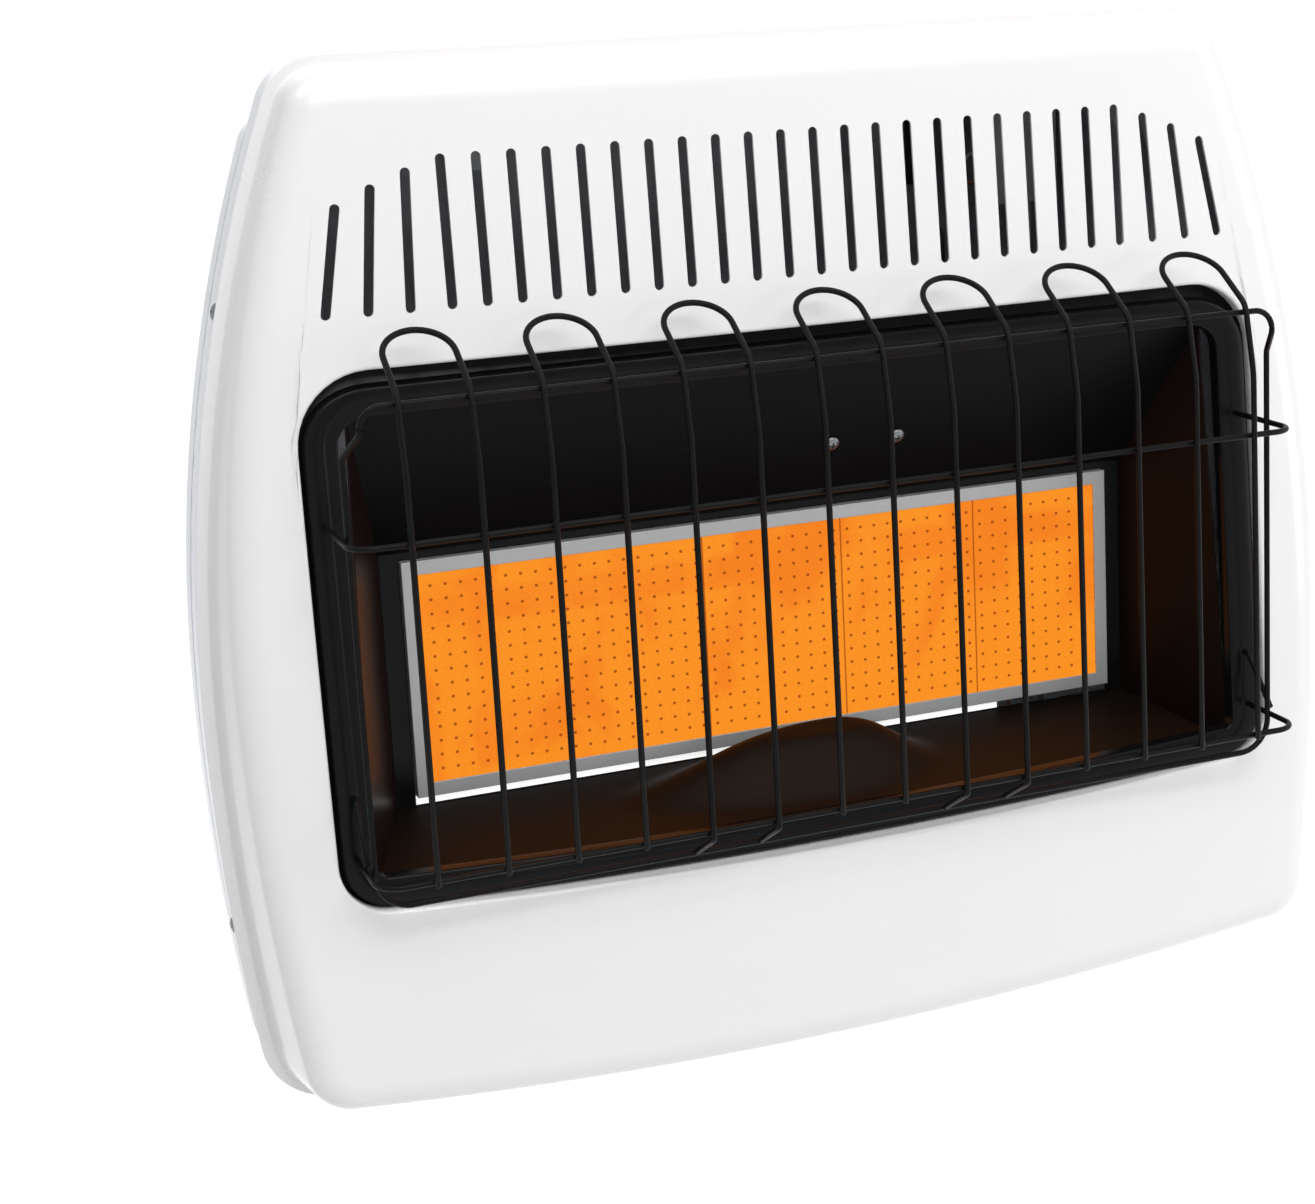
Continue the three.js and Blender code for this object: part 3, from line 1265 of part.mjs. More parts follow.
// Two hairpins have feet that run on down to the front of the perimeter wire.
const FOOT_DROP = 1; // from the other legs' ends to the bend
const FOOT_BEND = 3;
const SHOULDER_BEND = 60;
const LOOP_BEND = 14;
const FOOT_HAIRPINS = [2, 4]; // counted from 0 at the left
const footTop = new THREE.Vector2(legOut(LEG_BOTTOM - FOOT_DROP), LEG_BOTTOM - FOOT_DROP);
const perimeterLow = new THREE.Vector2(PERIMETER_OUT, PERIMETER_BOTTOM);
const footEnd = footTop.clone().sub(perimeterLow).setLength(WIRE / 2 + 2 * GAP).add(perimeterLow);

function hairpin(index) {
  const centre = (index - (LEG_COUNT / 2 - 1) / 2) * 2 * LEG_PITCH;
  const half = LEG_PITCH / 2;
  const shoulder = { out: legOut(SHOULDER_HEIGHT), z: SHOULDER_HEIGHT };
  const bend = { out: BEND_OUT, z: BEND_HEIGHT };
  const lean = new THREE.Vector2(LOOP_TOP_OUT - BEND_OUT, LOOP_TOP_HEIGHT - BEND_HEIGHT);
  const straight = lean.length() - half;
  lean.normalize();
  const onLoop = (x, along) => point(x, bend.out + lean.x * along, bend.z + lean.y * along);
  const leg = (side) => {
    const x = centre + side * half;
    const corners = [
      point(x, shoulder.out, shoulder.z),
      point(x, bend.out, bend.z),
      onLoop(x, straight),
    ];
    const radii = [SHOULDER_BEND, LOOP_BEND];
    if (!FOOT_HAIRPINS.includes(index)) {
      return bent([point(x, legOut(LEG_BOTTOM), LEG_BOTTOM), ...corners], radii, 3);
    }
    const foot = [point(x, footEnd.x, footEnd.y), point(x, footTop.x, footTop.y)];
    return bent([...foot, ...corners], [FOOT_BEND, ...radii], 3);
  };
  const loop = [];
  const loopSteps = 8;
  for (let k = 1; k < loopSteps; k += 1) {
    const turn = (Math.PI * k) / loopSteps;
    loop.push(onLoop(centre - half * Math.cos(turn), straight + half * Math.sin(turn)));
  }
  return wire([...leg(-1), ...loop, ...leg(1).reverse()]);
}

for (let i = 0; i < LEG_COUNT / 2; i += 1) add(`guard_hairpin_${i + 1}`, hairpin(i), BLACK_WIRE);

function staple(height) {
  const tail = bezelOut(height, RAIL_STEP + SHEET + STAPLE_TAIL);
  const front = legOut(height) - WELD;
  return wire(bent([
    point(-ARM_X, tail, height),
    point(-ARM_X, front, height),
    point(ARM_X, front, height),
    point(ARM_X, tail, height),
  ], STAPLE_CORNER, 6));
}

add('guard_staple_middle', staple(MIDDLE_STAPLE_HEIGHT), BLACK_WIRE);
add('guard_staple_lower', staple(LOWER_STAPLE_HEIGHT), BLACK_WIRE);

// The perimeter wire is butt welded at its middle; its top run stands forward, behind the legs.
const PERIMETER_X = ARM_X - WELD;
const PERIMETER_STEP_LOW = 412; // its sides step forward and in, from here
const PERIMETER_STEP_HIGH = 427; // to here
const PERIMETER_NARROWING = 7; // of each side of its top run
const PERIMETER_BENDS = [20, 5, 5, 12]; // from the bottom corner up
const bendSlope = (legOut(SHOULDER_HEIGHT) - BEND_OUT) / (BEND_HEIGHT - SHOULDER_HEIGHT);
const perimeterTopOut = BEND_OUT + bendSlope * (BEND_HEIGHT - PERIMETER_TOP) - WELD - GAP;

function perimeterHalf(side) {
  const corner = (x, out, z) => point(side * x, out, z);
  return wire(bent([
    corner(-0.5, PERIMETER_OUT, PERIMETER_BOTTOM),
    corner(PERIMETER_X, PERIMETER_OUT, PERIMETER_BOTTOM),
    corner(PERIMETER_X, PERIMETER_OUT, PERIMETER_STEP_LOW),
    corner(PERIMETER_X - PERIMETER_NARROWING, perimeterTopOut, PERIMETER_STEP_HIGH),
    corner(PERIMETER_X - PERIMETER_NARROWING, perimeterTopOut, PERIMETER_TOP),
    corner(-0.5, perimeterTopOut, PERIMETER_TOP),
  ], PERIMETER_BENDS, 4));
}

add('guard_perimeter', join([perimeterHalf(-1), perimeterHalf(1)]), BLACK_WIRE);

const STAY_BEND = 5;
LEFT_AND_RIGHT.forEach(([name, side]) => {
  const start = bezelOut(STAY_HEIGHT, 0);
  add(`guard_stay_${name}`, wire(bent([
    point(side * STAY_X, start - RAIL_STEP - SHEET - STAY_BEND, STAY_HEIGHT),
    point(side * STAY_X, start + STAY_BEND, STAY_HEIGHT),
    point(side * ARM_X, STAY_END_OUT, LOWER_STAPLE_HEIGHT + WELD + GAP),
  ], STAY_BEND, 5)), BLACK_WIRE);
});

export default heater;
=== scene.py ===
import json
import math

import bmesh
import bpy
from mathutils import Matrix, Vector


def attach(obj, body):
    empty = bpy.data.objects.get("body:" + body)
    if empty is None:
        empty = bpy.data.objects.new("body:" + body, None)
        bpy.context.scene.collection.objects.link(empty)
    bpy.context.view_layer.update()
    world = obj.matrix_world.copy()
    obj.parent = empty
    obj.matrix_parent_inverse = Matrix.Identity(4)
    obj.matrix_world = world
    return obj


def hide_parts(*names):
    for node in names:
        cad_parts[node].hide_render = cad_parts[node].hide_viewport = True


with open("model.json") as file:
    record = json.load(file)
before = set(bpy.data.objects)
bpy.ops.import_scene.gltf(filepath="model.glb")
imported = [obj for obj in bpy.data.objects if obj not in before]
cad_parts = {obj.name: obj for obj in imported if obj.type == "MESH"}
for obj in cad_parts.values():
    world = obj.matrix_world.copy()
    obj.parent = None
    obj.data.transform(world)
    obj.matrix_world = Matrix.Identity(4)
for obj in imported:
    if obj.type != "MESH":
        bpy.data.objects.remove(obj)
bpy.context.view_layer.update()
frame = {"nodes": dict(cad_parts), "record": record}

# ---------------------------------------------------------------- sizes, in millimetres
# X runs to the viewer's right, heights count from the casing's lowest point, and OUT is the distance
# from the wall. at() turns such a place into metres in the row frame.

BRACKET_HEIGHT = 510
WIDTH, HEIGHT, DEPTH = 723.9, 622.3, 292.1
SHEET, THIN_SHEET = 1.6, 1.2
GAP = 0.3

# Casing: its bowed sides are widest at the height WIDEST, and its lower edge bows down.
WIDEST, UPPER_SIDE_RADIUS, LOWER_SIDE_RADIUS, FOOT_RADIUS = 260, 963, 1400, 3440
CASING_TOP_CORNER, CASING_FOOT_CORNER = 34, 44
RIM_OUT = 175.6
FACE_OUT, FACE_LEVEL, FACE_LEAN = 218, 494, 0.0714
FACE_BOW, FACE_BOW_AT = 7, 300
FLANGE, DRAFT = 6.5, 0.17
BEVEL_WIDTH, BEVEL_DEPTH = 18, 13
LIP_ROLL = 2.6

SLOT_COUNT, SLOT_PITCH, SLOT_WIDTH = 28, 20.1, 5.7
SLOT_BOTTOM, SLOT_TOP = 480.2, 566
FANNED_SLOTS, FAN_DROP, FAN_DROP_GROWTH, FAN_SPLAY = 3, 5.5, 0.75, 3.4

WINDOW_HALF, WINDOW_WIDEST, WINDOW_TOP, WINDOW_BOTTOM = 303.5, 296.5, 451, 138
WINDOW_SIDE_RADIUS, WINDOW_FOOT_RADIUS = 20000, 5000
WINDOW_TOP_CORNER, WINDOW_FOOT_CORNER = 42, 29
BEZEL_BEHIND, REBATE_DEPTH, RETURN_BEHIND = 10, 6, 20
REBATE = {"side": 2.5, "top": 9, "bottom": 1}
RAIL = {"side": 22.5, "top": 26.5, "bottom": 18}
RAIL_STEP_AT, RAIL_STEP, SLOPE_WIDTH = 0.62, 0.8, 1.5
BEZEL_OVERLAP = 6

# Rear case: a back box, then a pan whose top is lower than the casing's, then the casing's own outline.
CASE_INSET = 2.5
BOX_HALF, BOX_WIDEST, BOX_BOTTOM, BOX_TOP, BOX_CORNER, BOX_EDGE = 266, 266, 40, 560, 26, 3
PAN_BACK_OUT, PAN_EDGE, PAN_DROP, PAN_TOP_CORNER = 120, 6, 35.3, 18
PAN_STEP_OUT, PAN_STEP_EDGE, PAN_STEP_WIDTH = 140, 3, 46
AIR_SLOT_COUNT, AIR_SLOT_PITCH, AIR_SLOT_WIDTH = 8, 48, 30
AIR_SLOT_OUT, AIR_SLOT_DEPTH = 150, 8
BRACKET_HALF, BRACKET_TALL, BRACKET_SHEET = 200, 60, 2
HOOK_X, HOOK_WIDTH, HOOK_RISE = 140, 30, 12
NECK_RADIUS, NOSE_RADIUS, FITTING_RADIUS, PORT_SPREAD = 9, 8.8, 8, 13

HOOD_REAR = 327
REFLECTOR_OUT, REFLECTOR_REAR_HALF, REFLECTOR_FRONT_HALF = 142.2, 248, 281
TRAY_FRONT, TRAY_REAR = 153, 171.5
HUMP_HEIGHT, HUMP_LEFT, HUMP_RIGHT, HUMP_HALF_DEPTH = 27, 150, 78, 37
HUMP_FLAT, HUMP_X, HUMP_OUT = 0.2, 22, 176
TRAY_COVER = 1.8

WIRE = 3.6
WELD = WIRE + GAP
HAIRPIN_COUNT, FOOTED_HAIRPINS = 7, (2, 4)
LEG_PITCH, LEG_BOTTOM, LEG_LEAN = 40.1, 175.5, 0.0155
FOOT_DROP, FOOT_BEND = 1, 3
SHOULDER, SHOULDER_BEND, LOOP_BEND = 405, 60, 14
BEND_OUT, BEND_HEIGHT = 278, 446
LOOP_OUT, LOOP_HEIGHT = 236, 474
ARM_X, MIDDLE_STAPLE, LOWER_STAPLE = 292.2, 366.6, 177.5
STAPLE_CORNER, STAPLE_TAIL = 14, 7
PERIMETER_OUT, PERIMETER_BOTTOM, PERIMETER_TOP = 258, 156, 441
PERIMETER_STEP, PERIMETER_NARROWING = (412, 427), 7
PERIMETER_BENDS = (20, 5, 5, 12)
STAY_X, STAY_HEIGHT, STAY_END, STAY_BEND, STAY_REACH = 290.5, 212, 256, 5, 5

SIDE_SCREW_HEIGHTS, SKIRT_DEPTH = (485, 127), 14
HOOD_SCREW_XS, HOOD_SCREW_OUT = (33, 77), 168
SCREW_RADIUS, SCREW_LENGTH, SCREW_HEAD, SCREW_HEAD_HEIGHT = 2, 8.7, 5.2, 3

CONTROL_OUT, VALVE_X, IGNITER_X = 60, 215, 150
DIAL_RADIUS, DIAL_THICKNESS = 34, 1.2
KNOB_BOTTOM, KNOB_TALL, KNOB_RADIUS, KNOB_FLUTES = 570.5, 26, 20, 24
CAP_BOTTOM = 572.3

FLOOR_LEVEL = -1.05  # metres, in the row frame
UP = Vector((0, 0, 1))


def at(x, out, z):
    return Vector((x, -out, z - BRACKET_HEIGHT)) / 1000


# ---------------------------------------------------------------- camera and light

camera_data = bpy.data.cameras.new("camera")
camera = bpy.data.objects.new("camera", camera_data)
bpy.context.scene.collection.objects.link(camera)
bpy.context.scene.camera = camera
camera_data.sensor_width = 36
camera_data.lens = 68.09  # this and the shift are fitted to the photograph
camera_data.shift_x = -0.0868
camera_data.shift_y = -0.0999
camera_data.clip_start = 0.05
CAMERA_PLACE = (-0.55166, -1.55270, 0.15883)
CAMERA_RIGHT = Vector((0.92636, -0.37412, -0.04346))
CAMERA_DOWN = Vector((-0.11656, -0.17505, -0.97764))
CAMERA_FORWARD = Vector((0.35814, 0.91071, -0.20577))
camera_turn = Matrix((CAMERA_RIGHT, -CAMERA_DOWN, -CAMERA_FORWARD)).transposed()
camera.matrix_world = Matrix.Translation(CAMERA_PLACE) @ camera_turn.to_4x4()

bpy.context.scene.view_settings.view_transform = "Standard"


def lamp(name, place, target, width, height, power, colour=(1, 1, 1)):
    """A panel of light in metres and watts, aimed from its place at the target."""
    data = bpy.data.lights.new(name, "AREA")
    data.shape = "RECTANGLE"
    data.size = width
    data.size_y = height
    data.energy = power
    data.color = colour
    light = bpy.data.objects.new(name, data)
    bpy.context.scene.collection.objects.link(light)
    direction = Vector(target) - Vector(place)
    turn = direction.to_track_quat("-Z", "Y").to_matrix().to_4x4()
    light.matrix_world = Matrix.Translation(place) @ turn


lamp("key", (0.0, -2.6, 1.9), (0, -0.1, -0.1), 2.4, 1.2, 52)
lamp("top", (0.0, -0.6, 2.2), (0, -0.2, 0), 2.4, 1.2, 18)
lamp("back", (0.4, 2.4, 1.3), (0, 0, -0.1), 2.0, 1.2, 24)
lamp("right", (2.4, -1.6, 0.3), (0.2, -0.2, -0.1), 1.2, 2.0, 22)
lamp("left", (-1.0, -0.45, 1.25), (-0.36, -0.12, 0.05), 0.7, 0.7, 3.5, (0.88, 0.93, 1.0))

# ---------------------------------------------------------------- shader maths


class Signal:
    """A shader socket whose operators add Math nodes."""

    def __init__(self, finish, socket):
        self.finish = finish
        self.socket = socket

    def calc(self, operation, *others):
        return self.finish.node(
            "ShaderNodeMath", {"operation": operation}, dict(enumerate((self, *others)))
        )

    def __add__(self, other):
        return self.calc("ADD", other)

    __radd__ = __add__

    def __sub__(self, other):
        return self.calc("SUBTRACT", other)

    def __rsub__(self, other):
        return self.finish.node(
            "ShaderNodeMath", {"operation": "SUBTRACT"}, {0: other, 1: self}
        )

    def __mul__(self, other):
        return self.calc("MULTIPLY", other)

    __rmul__ = __mul__

    def __truediv__(self, other):
        return self.calc("DIVIDE", other)

    def __pow__(self, other):
        return self.calc("POWER", other)

    def fraction(self):
        return self.calc("FRACT")

    def ramped(self, low, high, to_low=0.0, to_high=1.0):
        """Runs smoothly from to_low at low to to_high at high."""
        return self.finish.node(
            "ShaderNodeMapRange",
            {"interpolation_type": "SMOOTHSTEP"},
            {"Value": self, "From Min": low, "From Max": high, "To Min": to_low, "To Max": to_high},
            "Result",
        )


class Finish:
    """A node material built from expressions."""

    def __init__(self, name, **sockets):
        self.material = bpy.data.materials.new(name)
        self.material.use_nodes = True
        self.tree = self.material.node_tree
        self.tree.nodes.clear()
        self.shader = self.tree.nodes.new("ShaderNodeBsdfPrincipled")
        output = self.tree.nodes.new("ShaderNodeOutputMaterial")
        self.tree.links.new(self.shader.outputs[0], output.inputs[0])
        self.place = self.node("ShaderNodeTexCoord", output="Object")
        self.set(**sockets)

    def node(self, kind, settings=None, sockets=None, output=0):
        made = self.tree.nodes.new(kind)
        for key, value in (settings or {}).items():
            setattr(made, key, value)
        for key, value in (sockets or {}).items():
            self.feed(made.inputs[key], value)
        return Signal(self, made.outputs[output])

    def feed(self, socket, value):
        if isinstance(value, Signal):
            self.tree.links.new(value.socket, socket)
        elif isinstance(value, tuple) and len(value) == 3 and len(socket.default_value) == 4:
            socket.default_value = (*value, 1)
        else:
            socket.default_value = value

    def set(self, **sockets):
        for key, value in sockets.items():
            self.feed(self.shader.inputs[key.replace("_", " ").title().replace("Ior", "IOR")], value)

    def noise(self, scale, detail=2.0, roughness=0.5, stretch=(1, 1, 1), distortion=0.0):
        moved = self.node(
            "ShaderNodeMapping", {"vector_type": "POINT"}, {"Vector": self.place, "Scale": stretch}
        )
        return self.node(
            "ShaderNodeTexNoise",
            {},
            {
                "Vector": moved, "Scale": scale, "Detail": detail,
                "Roughness": roughness, "Distortion": distortion,
            },
            "Fac",
        )

    def axis(self, letter):
        return self.node("ShaderNodeSeparateXYZ", {}, {0: self.place}, letter)

    def blend(self, factor, low, high):
        """The colour low where the factor is 0, and high where it is 1."""
        return self.node(
            "ShaderNodeMix", {"data_type": "RGBA", "clamp_factor": True}, {0: factor, 6: low, 7: high}, 2
        )

    def bump(self, height, strength, distance):
        sockets = {"Height": height, "Strength": strength, "Distance": distance}
        return self.node("ShaderNodeBump", {}, sockets, "Normal")


def metal(name, dark, light, roughness, scale, stretch=(1, 1, 1), metallic=1.0, dent=0.15):
    """A metal with a grain: brushed if it is stretched, cast or spangled if it isn't."""
    finish = Finish(name, metallic=metallic)
    grain = finish.noise(scale, 4, 0.6, stretch)
    patches = finish.noise(22, 3)
    finish.set(
        base_color=finish.blend(grain * 0.6 + patches * 0.4, dark, light),
        roughness=roughness + (grain - 0.5) * 0.2 + (patches - 0.5) * 0.12,
        normal=finish.bump(grain, dent, 0.0002),
    )
    return finish


def paint(name, colour, roughness, grain=700, dent=0.05, coat=0.0, spread=0.06, mirror=0.5):
    """Sprayed or moulded: a fine skin over a slow change of tone."""
    finish = Finish(name, coat_weight=coat, coat_roughness=0.08, specular_ior_level=mirror)
    skin = finish.noise(grain, 2, 0.5)
    cloud = finish.noise(9, 3, 0.5)
    darker = tuple(part * (1 - spread) for part in colour)
    finish.set(
        base_color=finish.blend(cloud, darker, colour),
        roughness=roughness + (cloud - 0.5) * 0.08 + (skin - 0.5) * 0.06,
        normal=finish.bump(skin, dent, 0.0003),
    )
    return finish


PLAQUES_LEFT, PLAQUE_PITCH = -0.2330, 0.0932
HOLE_COLUMN, HOLE_ROW, LOWEST_HOLE_ROW = 0.00932, 0.008725, -0.3292
FINE_HOLES = 6  # to each wide spacing
STREAK_LEVEL, STREAK_HEIGHT = -0.2185, 0.011


def plaque_glow():
    """Perforated ceramic at working temperature: a grid of deep holes, a fine speckle and slow dark bands.
    """
    finish = Finish("ceramic_glow", roughness=0.9, emission_strength=0.95, specular_ior_level=0.05)
    across = (finish.axis("X") - PLAQUES_LEFT) / HOLE_COLUMN
    up = (finish.axis("Z") - LOWEST_HOLE_ROW) / HOLE_ROW
    from_centre = ((across.fraction() - 0.5) ** 2 + (up.fraction() - 0.5) ** 2) ** 0.5
    hole = from_centre.ramped(0.07, 0.15, 1.0, 0.0)
    fine_across = (across * FINE_HOLES).fraction() - 0.5
    fine_up = (up * FINE_HOLES).fraction() - 0.5
    fine = (fine_across * fine_across + fine_up * fine_up).ramped(0.02, 0.13, 1.0, 0.0)
    speckle = finish.noise(900, 2).ramped(0.42, 0.62)
    level = (finish.axis("Z") - STREAK_LEVEL) / STREAK_HEIGHT
    streak = (level * level).ramped(0.2, 1.6, 1.0, 0.0)
    patches = finish.noise(14, 3, 0.6, (1.0, 1.0, 0.6), 0.8).ramped(0.48, 0.66)
    band = patches.calc("MAXIMUM", streak * finish.noise(16, 2).ramped(0.35, 0.6))
    to_seam = ((finish.axis("X") - PLAQUES_LEFT) / PLAQUE_PITCH).fraction() - 0.5
    seam = (to_seam * to_seam).ramped(0.2425, 0.2475)
    hot = (1.0, 0.295, 0.014)
    warm = (0.93, 0.205, 0.008)
    deep = (0.55, 0.100, 0.005)
    in_holes = (0.30, 0.05, 0.004)
    colour = finish.blend(band * 0.75, hot, warm)
    colour = finish.blend(fine * speckle * 0.35, colour, deep)
    colour = finish.blend((hole * 0.85).calc("MAXIMUM", seam * 0.8), colour, in_holes)
    finish.set(
        base_color=finish.blend(hole, (0.045, 0.020, 0.008), (0.010, 0.004, 0.002)),
        emission_color=colour,
        normal=finish.bump(1 - hole - fine * 0.3, 0.35, 0.0006),
    )
    return finish


def reflector_black(name, window_tone, burner_tone, roughness, mirror):
    """Black enamel whose tone runs from one colour at the window to another towards the burner."""
    finish = Finish(name, specular_ior_level=mirror)
    skin = finish.noise(420, 2)
    cloud = finish.noise(7, 4, 0.6, (0.6, 1, 1.6))
    window_to_burner = finish.axis("Y").ramped(-0.225, -0.145)  # from the window back to the burner
    finish.set(
        base_color=finish.blend(window_to_burner * (0.5 + cloud), window_tone, burner_tone),
        roughness=roughness + (cloud - 0.5) * 0.14 + (skin - 0.5) * 0.05,
        normal=finish.bump(skin, 0.05, 0.0003),
    )
    return finish


WHITE = paint("white_enamel", (0.82, 0.80, 0.79), 0.30, 520, 0.03, 0.5, 0.02)
CASE_WHITE = paint("case_enamel", (0.68, 0.695, 0.73), 0.34, 520, 0.03, 0.4, 0.03)
PRIMER = paint("dark_primer", (0.055, 0.056, 0.058), 0.75, 900, 0.2)
# The case's inside is grey metal, made darker than the sheet itself would be as painted shade behind the
# slots.
INNER_GREY_AND_SHADE = metal("case_inside_painted_shade", (0.10, 0.10, 0.105), (0.24, 0.24, 0.245), 0.5, 200, metallic=0.4)
BEZEL_BLACK = paint("gloss_black", (0.0045, 0.0047, 0.0055), 0.22, 420, 0.05, 0.0, 0.2, 0.10)
HOOD_BLACK = reflector_black("hood_black", (0.0030, 0.0030, 0.0033), (0.0030, 0.0027, 0.0030), 0.30, 0.055)
SIDE_BLACK = reflector_black("side_black", (0.0065, 0.0040, 0.0036), (0.0075, 0.0038, 0.0032), 0.34, 0.08)
TRAY_BROWN = reflector_black("tray_brown", (0.0120, 0.0055, 0.0026), (0.0050, 0.0035, 0.0027), 0.52, 0.06)
WIRE_BLACK = paint("wire_black", (0.0050, 0.0048, 0.0047), 0.36, 900, 0.16, 0.0, 0.3, 0.08)
KNOB_BLACK = paint("knob_black", (0.018, 0.018, 0.019), 0.45, 1300, 0.2, 0.0, 0.2)
POINTER_WHITE = paint("pointer_white", (0.78, 0.78, 0.76), 0.5)
BUTTON_RED = paint("button_red", (0.42, 0.02, 0.012), 0.28, 900, 0.05, 0.3)
GLOW = plaque_glow()
ZINC = metal("zinc_steel", (0.30, 0.31, 0.32), (0.62, 0.63, 0.64), 0.42, 260)
ALUMINISED = metal("aluminised_steel", (0.34, 0.34, 0.335), (0.47, 0.47, 0.465), 0.45, 600, (1, 1, 8), 0.3)
# The lower deflector's emission is a painted glow: it lifts the strip to white where the burner frame
# shades it.
DEFLECTOR_PAINTED_GLOW = metal("bright_sheet_painted_glow", (0.88, 0.88, 0.87), (0.97, 0.97, 0.96), 0.35, 300, (1, 1, 6), 0.1, 0.05)
DEFLECTOR_PAINTED_GLOW.set(emission_color=(1.0, 0.99, 0.97), emission_strength=0.8)
CAST = metal("cast_aluminium", (0.35, 0.35, 0.36), (0.60, 0.60, 0.60), 0.5, 420, (1, 1, 1), 0.9, 0.4)
BRASS = metal("turned_brass", (0.42, 0.27, 0.07), (0.72, 0.50, 0.19), 0.3, 500, (1, 1, 12))
COPPER = metal("copper_tube", (0.42, 0.14, 0.06), (0.68, 0.28, 0.15), 0.35, 300)
PORCELAIN = paint("porcelain", (0.74, 0.71, 0.64), 0.25, 300, 0.05, 0.4)
WOOL = paint("ceramic_wool", (0.58, 0.54, 0.46), 0.95, 260, 0.8)
SCREW_STEEL = metal("screw_steel", (0.10, 0.105, 0.11), (0.26, 0.27, 0.28), 0.4, 500)

CAD_FINISHES = {
    "white_enamel": WHITE, "black_gloss": HOOD_BLACK, "black_wire": WIRE_BLACK, "galvanised": ZINC,
    "aluminised": ALUMINISED, "cast_aluminium": CAST, "ceramic": GLOW, "porcelain": PORCELAIN,
    "wool": WOOL, "brass": BRASS, "copper": COPPER, "black_plastic": KNOB_BLACK, "red_plastic": BUTTON_RED,
}
SLOT_OF = {row["node"]: row["material_slot"] for row in frame["record"]["subparts"]}
OWN_FINISHES = {"left_reflector": SIDE_BLACK, "right_reflector": SIDE_BLACK}
for node_name, node_object in frame["nodes"].items():
    finish = OWN_FINISHES.get(node_name, CAD_FINISHES[SLOT_OF[node_name]])
    node_object.data.materials.clear()
    node_object.data.materials.append(finish.material)

# ---------------------------------------------------------------- modelling


def deselect():
    if bpy.context.object and bpy.context.object.mode != "OBJECT":
        bpy.ops.object.mode_set(mode="OBJECT")
    bpy.ops.object.select_all(action="DESELECT")


def chosen(piece):
    deselect()
    piece.select_set(True)
    bpy.context.view_layer.objects.active = piece


def settle(piece):
    """Puts the piece's place into its mesh."""
    chosen(piece)
    bpy.ops.object.transform_apply(location=True, rotation=True, scale=True)


def modify(piece, kind, **settings):
    chosen(piece)
    modifier = piece.modifiers.new(kind.lower(), kind)
    for key, value in settings.items():
        setattr(modifier, key, value)
    bpy.ops.object.modifier_apply(modifier=modifier.name)


def smooth(piece, degrees):
    chosen(piece)
    bpy.ops.object.shade_smooth_by_angle(angle=math.radians(degrees))


def box(name, size, centre):
    """A block with sides and centre in millimetres, from the origin of the row frame."""
    deselect()
    bpy.ops.mesh.primitive_cube_add(size=1)
    piece = bpy.context.object
    piece.name = name
    piece.data.transform(Matrix.Diagonal((*(side / 1000 for side in size), 1)))
    piece.data.transform(Matrix.Translation(Vector(centre) / 1000))
    return piece


def cut(piece, cutter, operation="DIFFERENCE"):
    """Takes the cutter away from the piece, or adds it, and deletes it."""
    modify(piece, "BOOLEAN", object=cutter, operation=operation, solver="EXACT")
    bpy.data.objects.remove(cutter)


def dress(piece, finish, node=None, body="heater", inside=None):
    """Gives the piece its finish and body, and hides the CAD node it stands for."""
    piece.data.materials.clear()
    piece.data.materials.append(finish.material)
    if inside is not None:
        piece.data.materials.append(inside.material)
    if node is not None:
        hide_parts(node)
    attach(piece, body)


def loft(name, rings, closed=(True, True), looped=False):
    """A skin over rings with the same number of points, extruded from one to the next."""
    count = len(rings[0])
    deselect()
    bpy.ops.mesh.primitive_circle_add(vertices=count, radius=1)
    piece = bpy.context.object
    piece.name = name
    bpy.ops.object.mode_set(mode="EDIT")
    bpy.ops.mesh.select_mode(type="EDGE")
    bpy.ops.mesh.select_all(action="SELECT")
    for _ in rings[1:]:
        bpy.ops.mesh.extrude_edges_indiv()
    mesh = bmesh.from_edit_mesh(piece.data)
    mesh.verts.ensure_lookup_table()
    row = list(mesh.verts)[:count]
    for step, ring in enumerate(rings):
        for vert, place in zip(row, ring):
            vert.co = place
        if step + 1 < len(rings):
            row = [
                next(
                    edge.other_vert(vert)
                    for edge in vert.link_edges
                    if edge.other_vert(vert).index // count == step + 1
                )
                for vert in row
            ]
    last = len(rings) - 1
    for edge in mesh.edges:
        edge.select_set(False)
    ends = [number for number, wanted in ((0, closed[0]), (last, closed[1])) if wanted]
    if looped:
        for edge in mesh.edges:
            places = {vert.index // count for vert in edge.verts}
            edge.select_set(len(places) == 1 and places <= {0, last})
        bmesh.update_edit_mesh(piece.data)
        bpy.ops.mesh.bridge_edge_loops()
    else:
        for end in ends:
            mesh = bmesh.from_edit_mesh(piece.data)
            for edge in mesh.edges:
                edge.select_set({vert.index // count for vert in edge.verts} == {end})
            bmesh.update_edit_mesh(piece.data)
            bpy.ops.mesh.edge_face_add()
            bpy.ops.mesh.select_all(action="DESELECT")
            bpy.ops.mesh.select_mode(type="EDGE")
    bpy.ops.mesh.select_all(action="SELECT")
    bpy.ops.mesh.normals_make_consistent(inside=False)
    bpy.ops.object.mode_set(mode="OBJECT")
    return piece


def circle_meeting(a, radius_a, b, radius_b):
    """The rightmost point where two circles meet."""
    span = math.dist(a, b)
    along = (radius_a**2 - radius_b**2 + span**2) / (2 * span)
    aside = math.sqrt(radius_a**2 - along**2)
    ux, uz = (b[0] - a[0]) / span, (b[1] - a[1]) / span
    meetings = [
        (a[0] + ux * along - uz * aside * side, a[1] + uz * along + ux * aside * side)
        for side in (1, -1)
    ]
    return max(meetings)


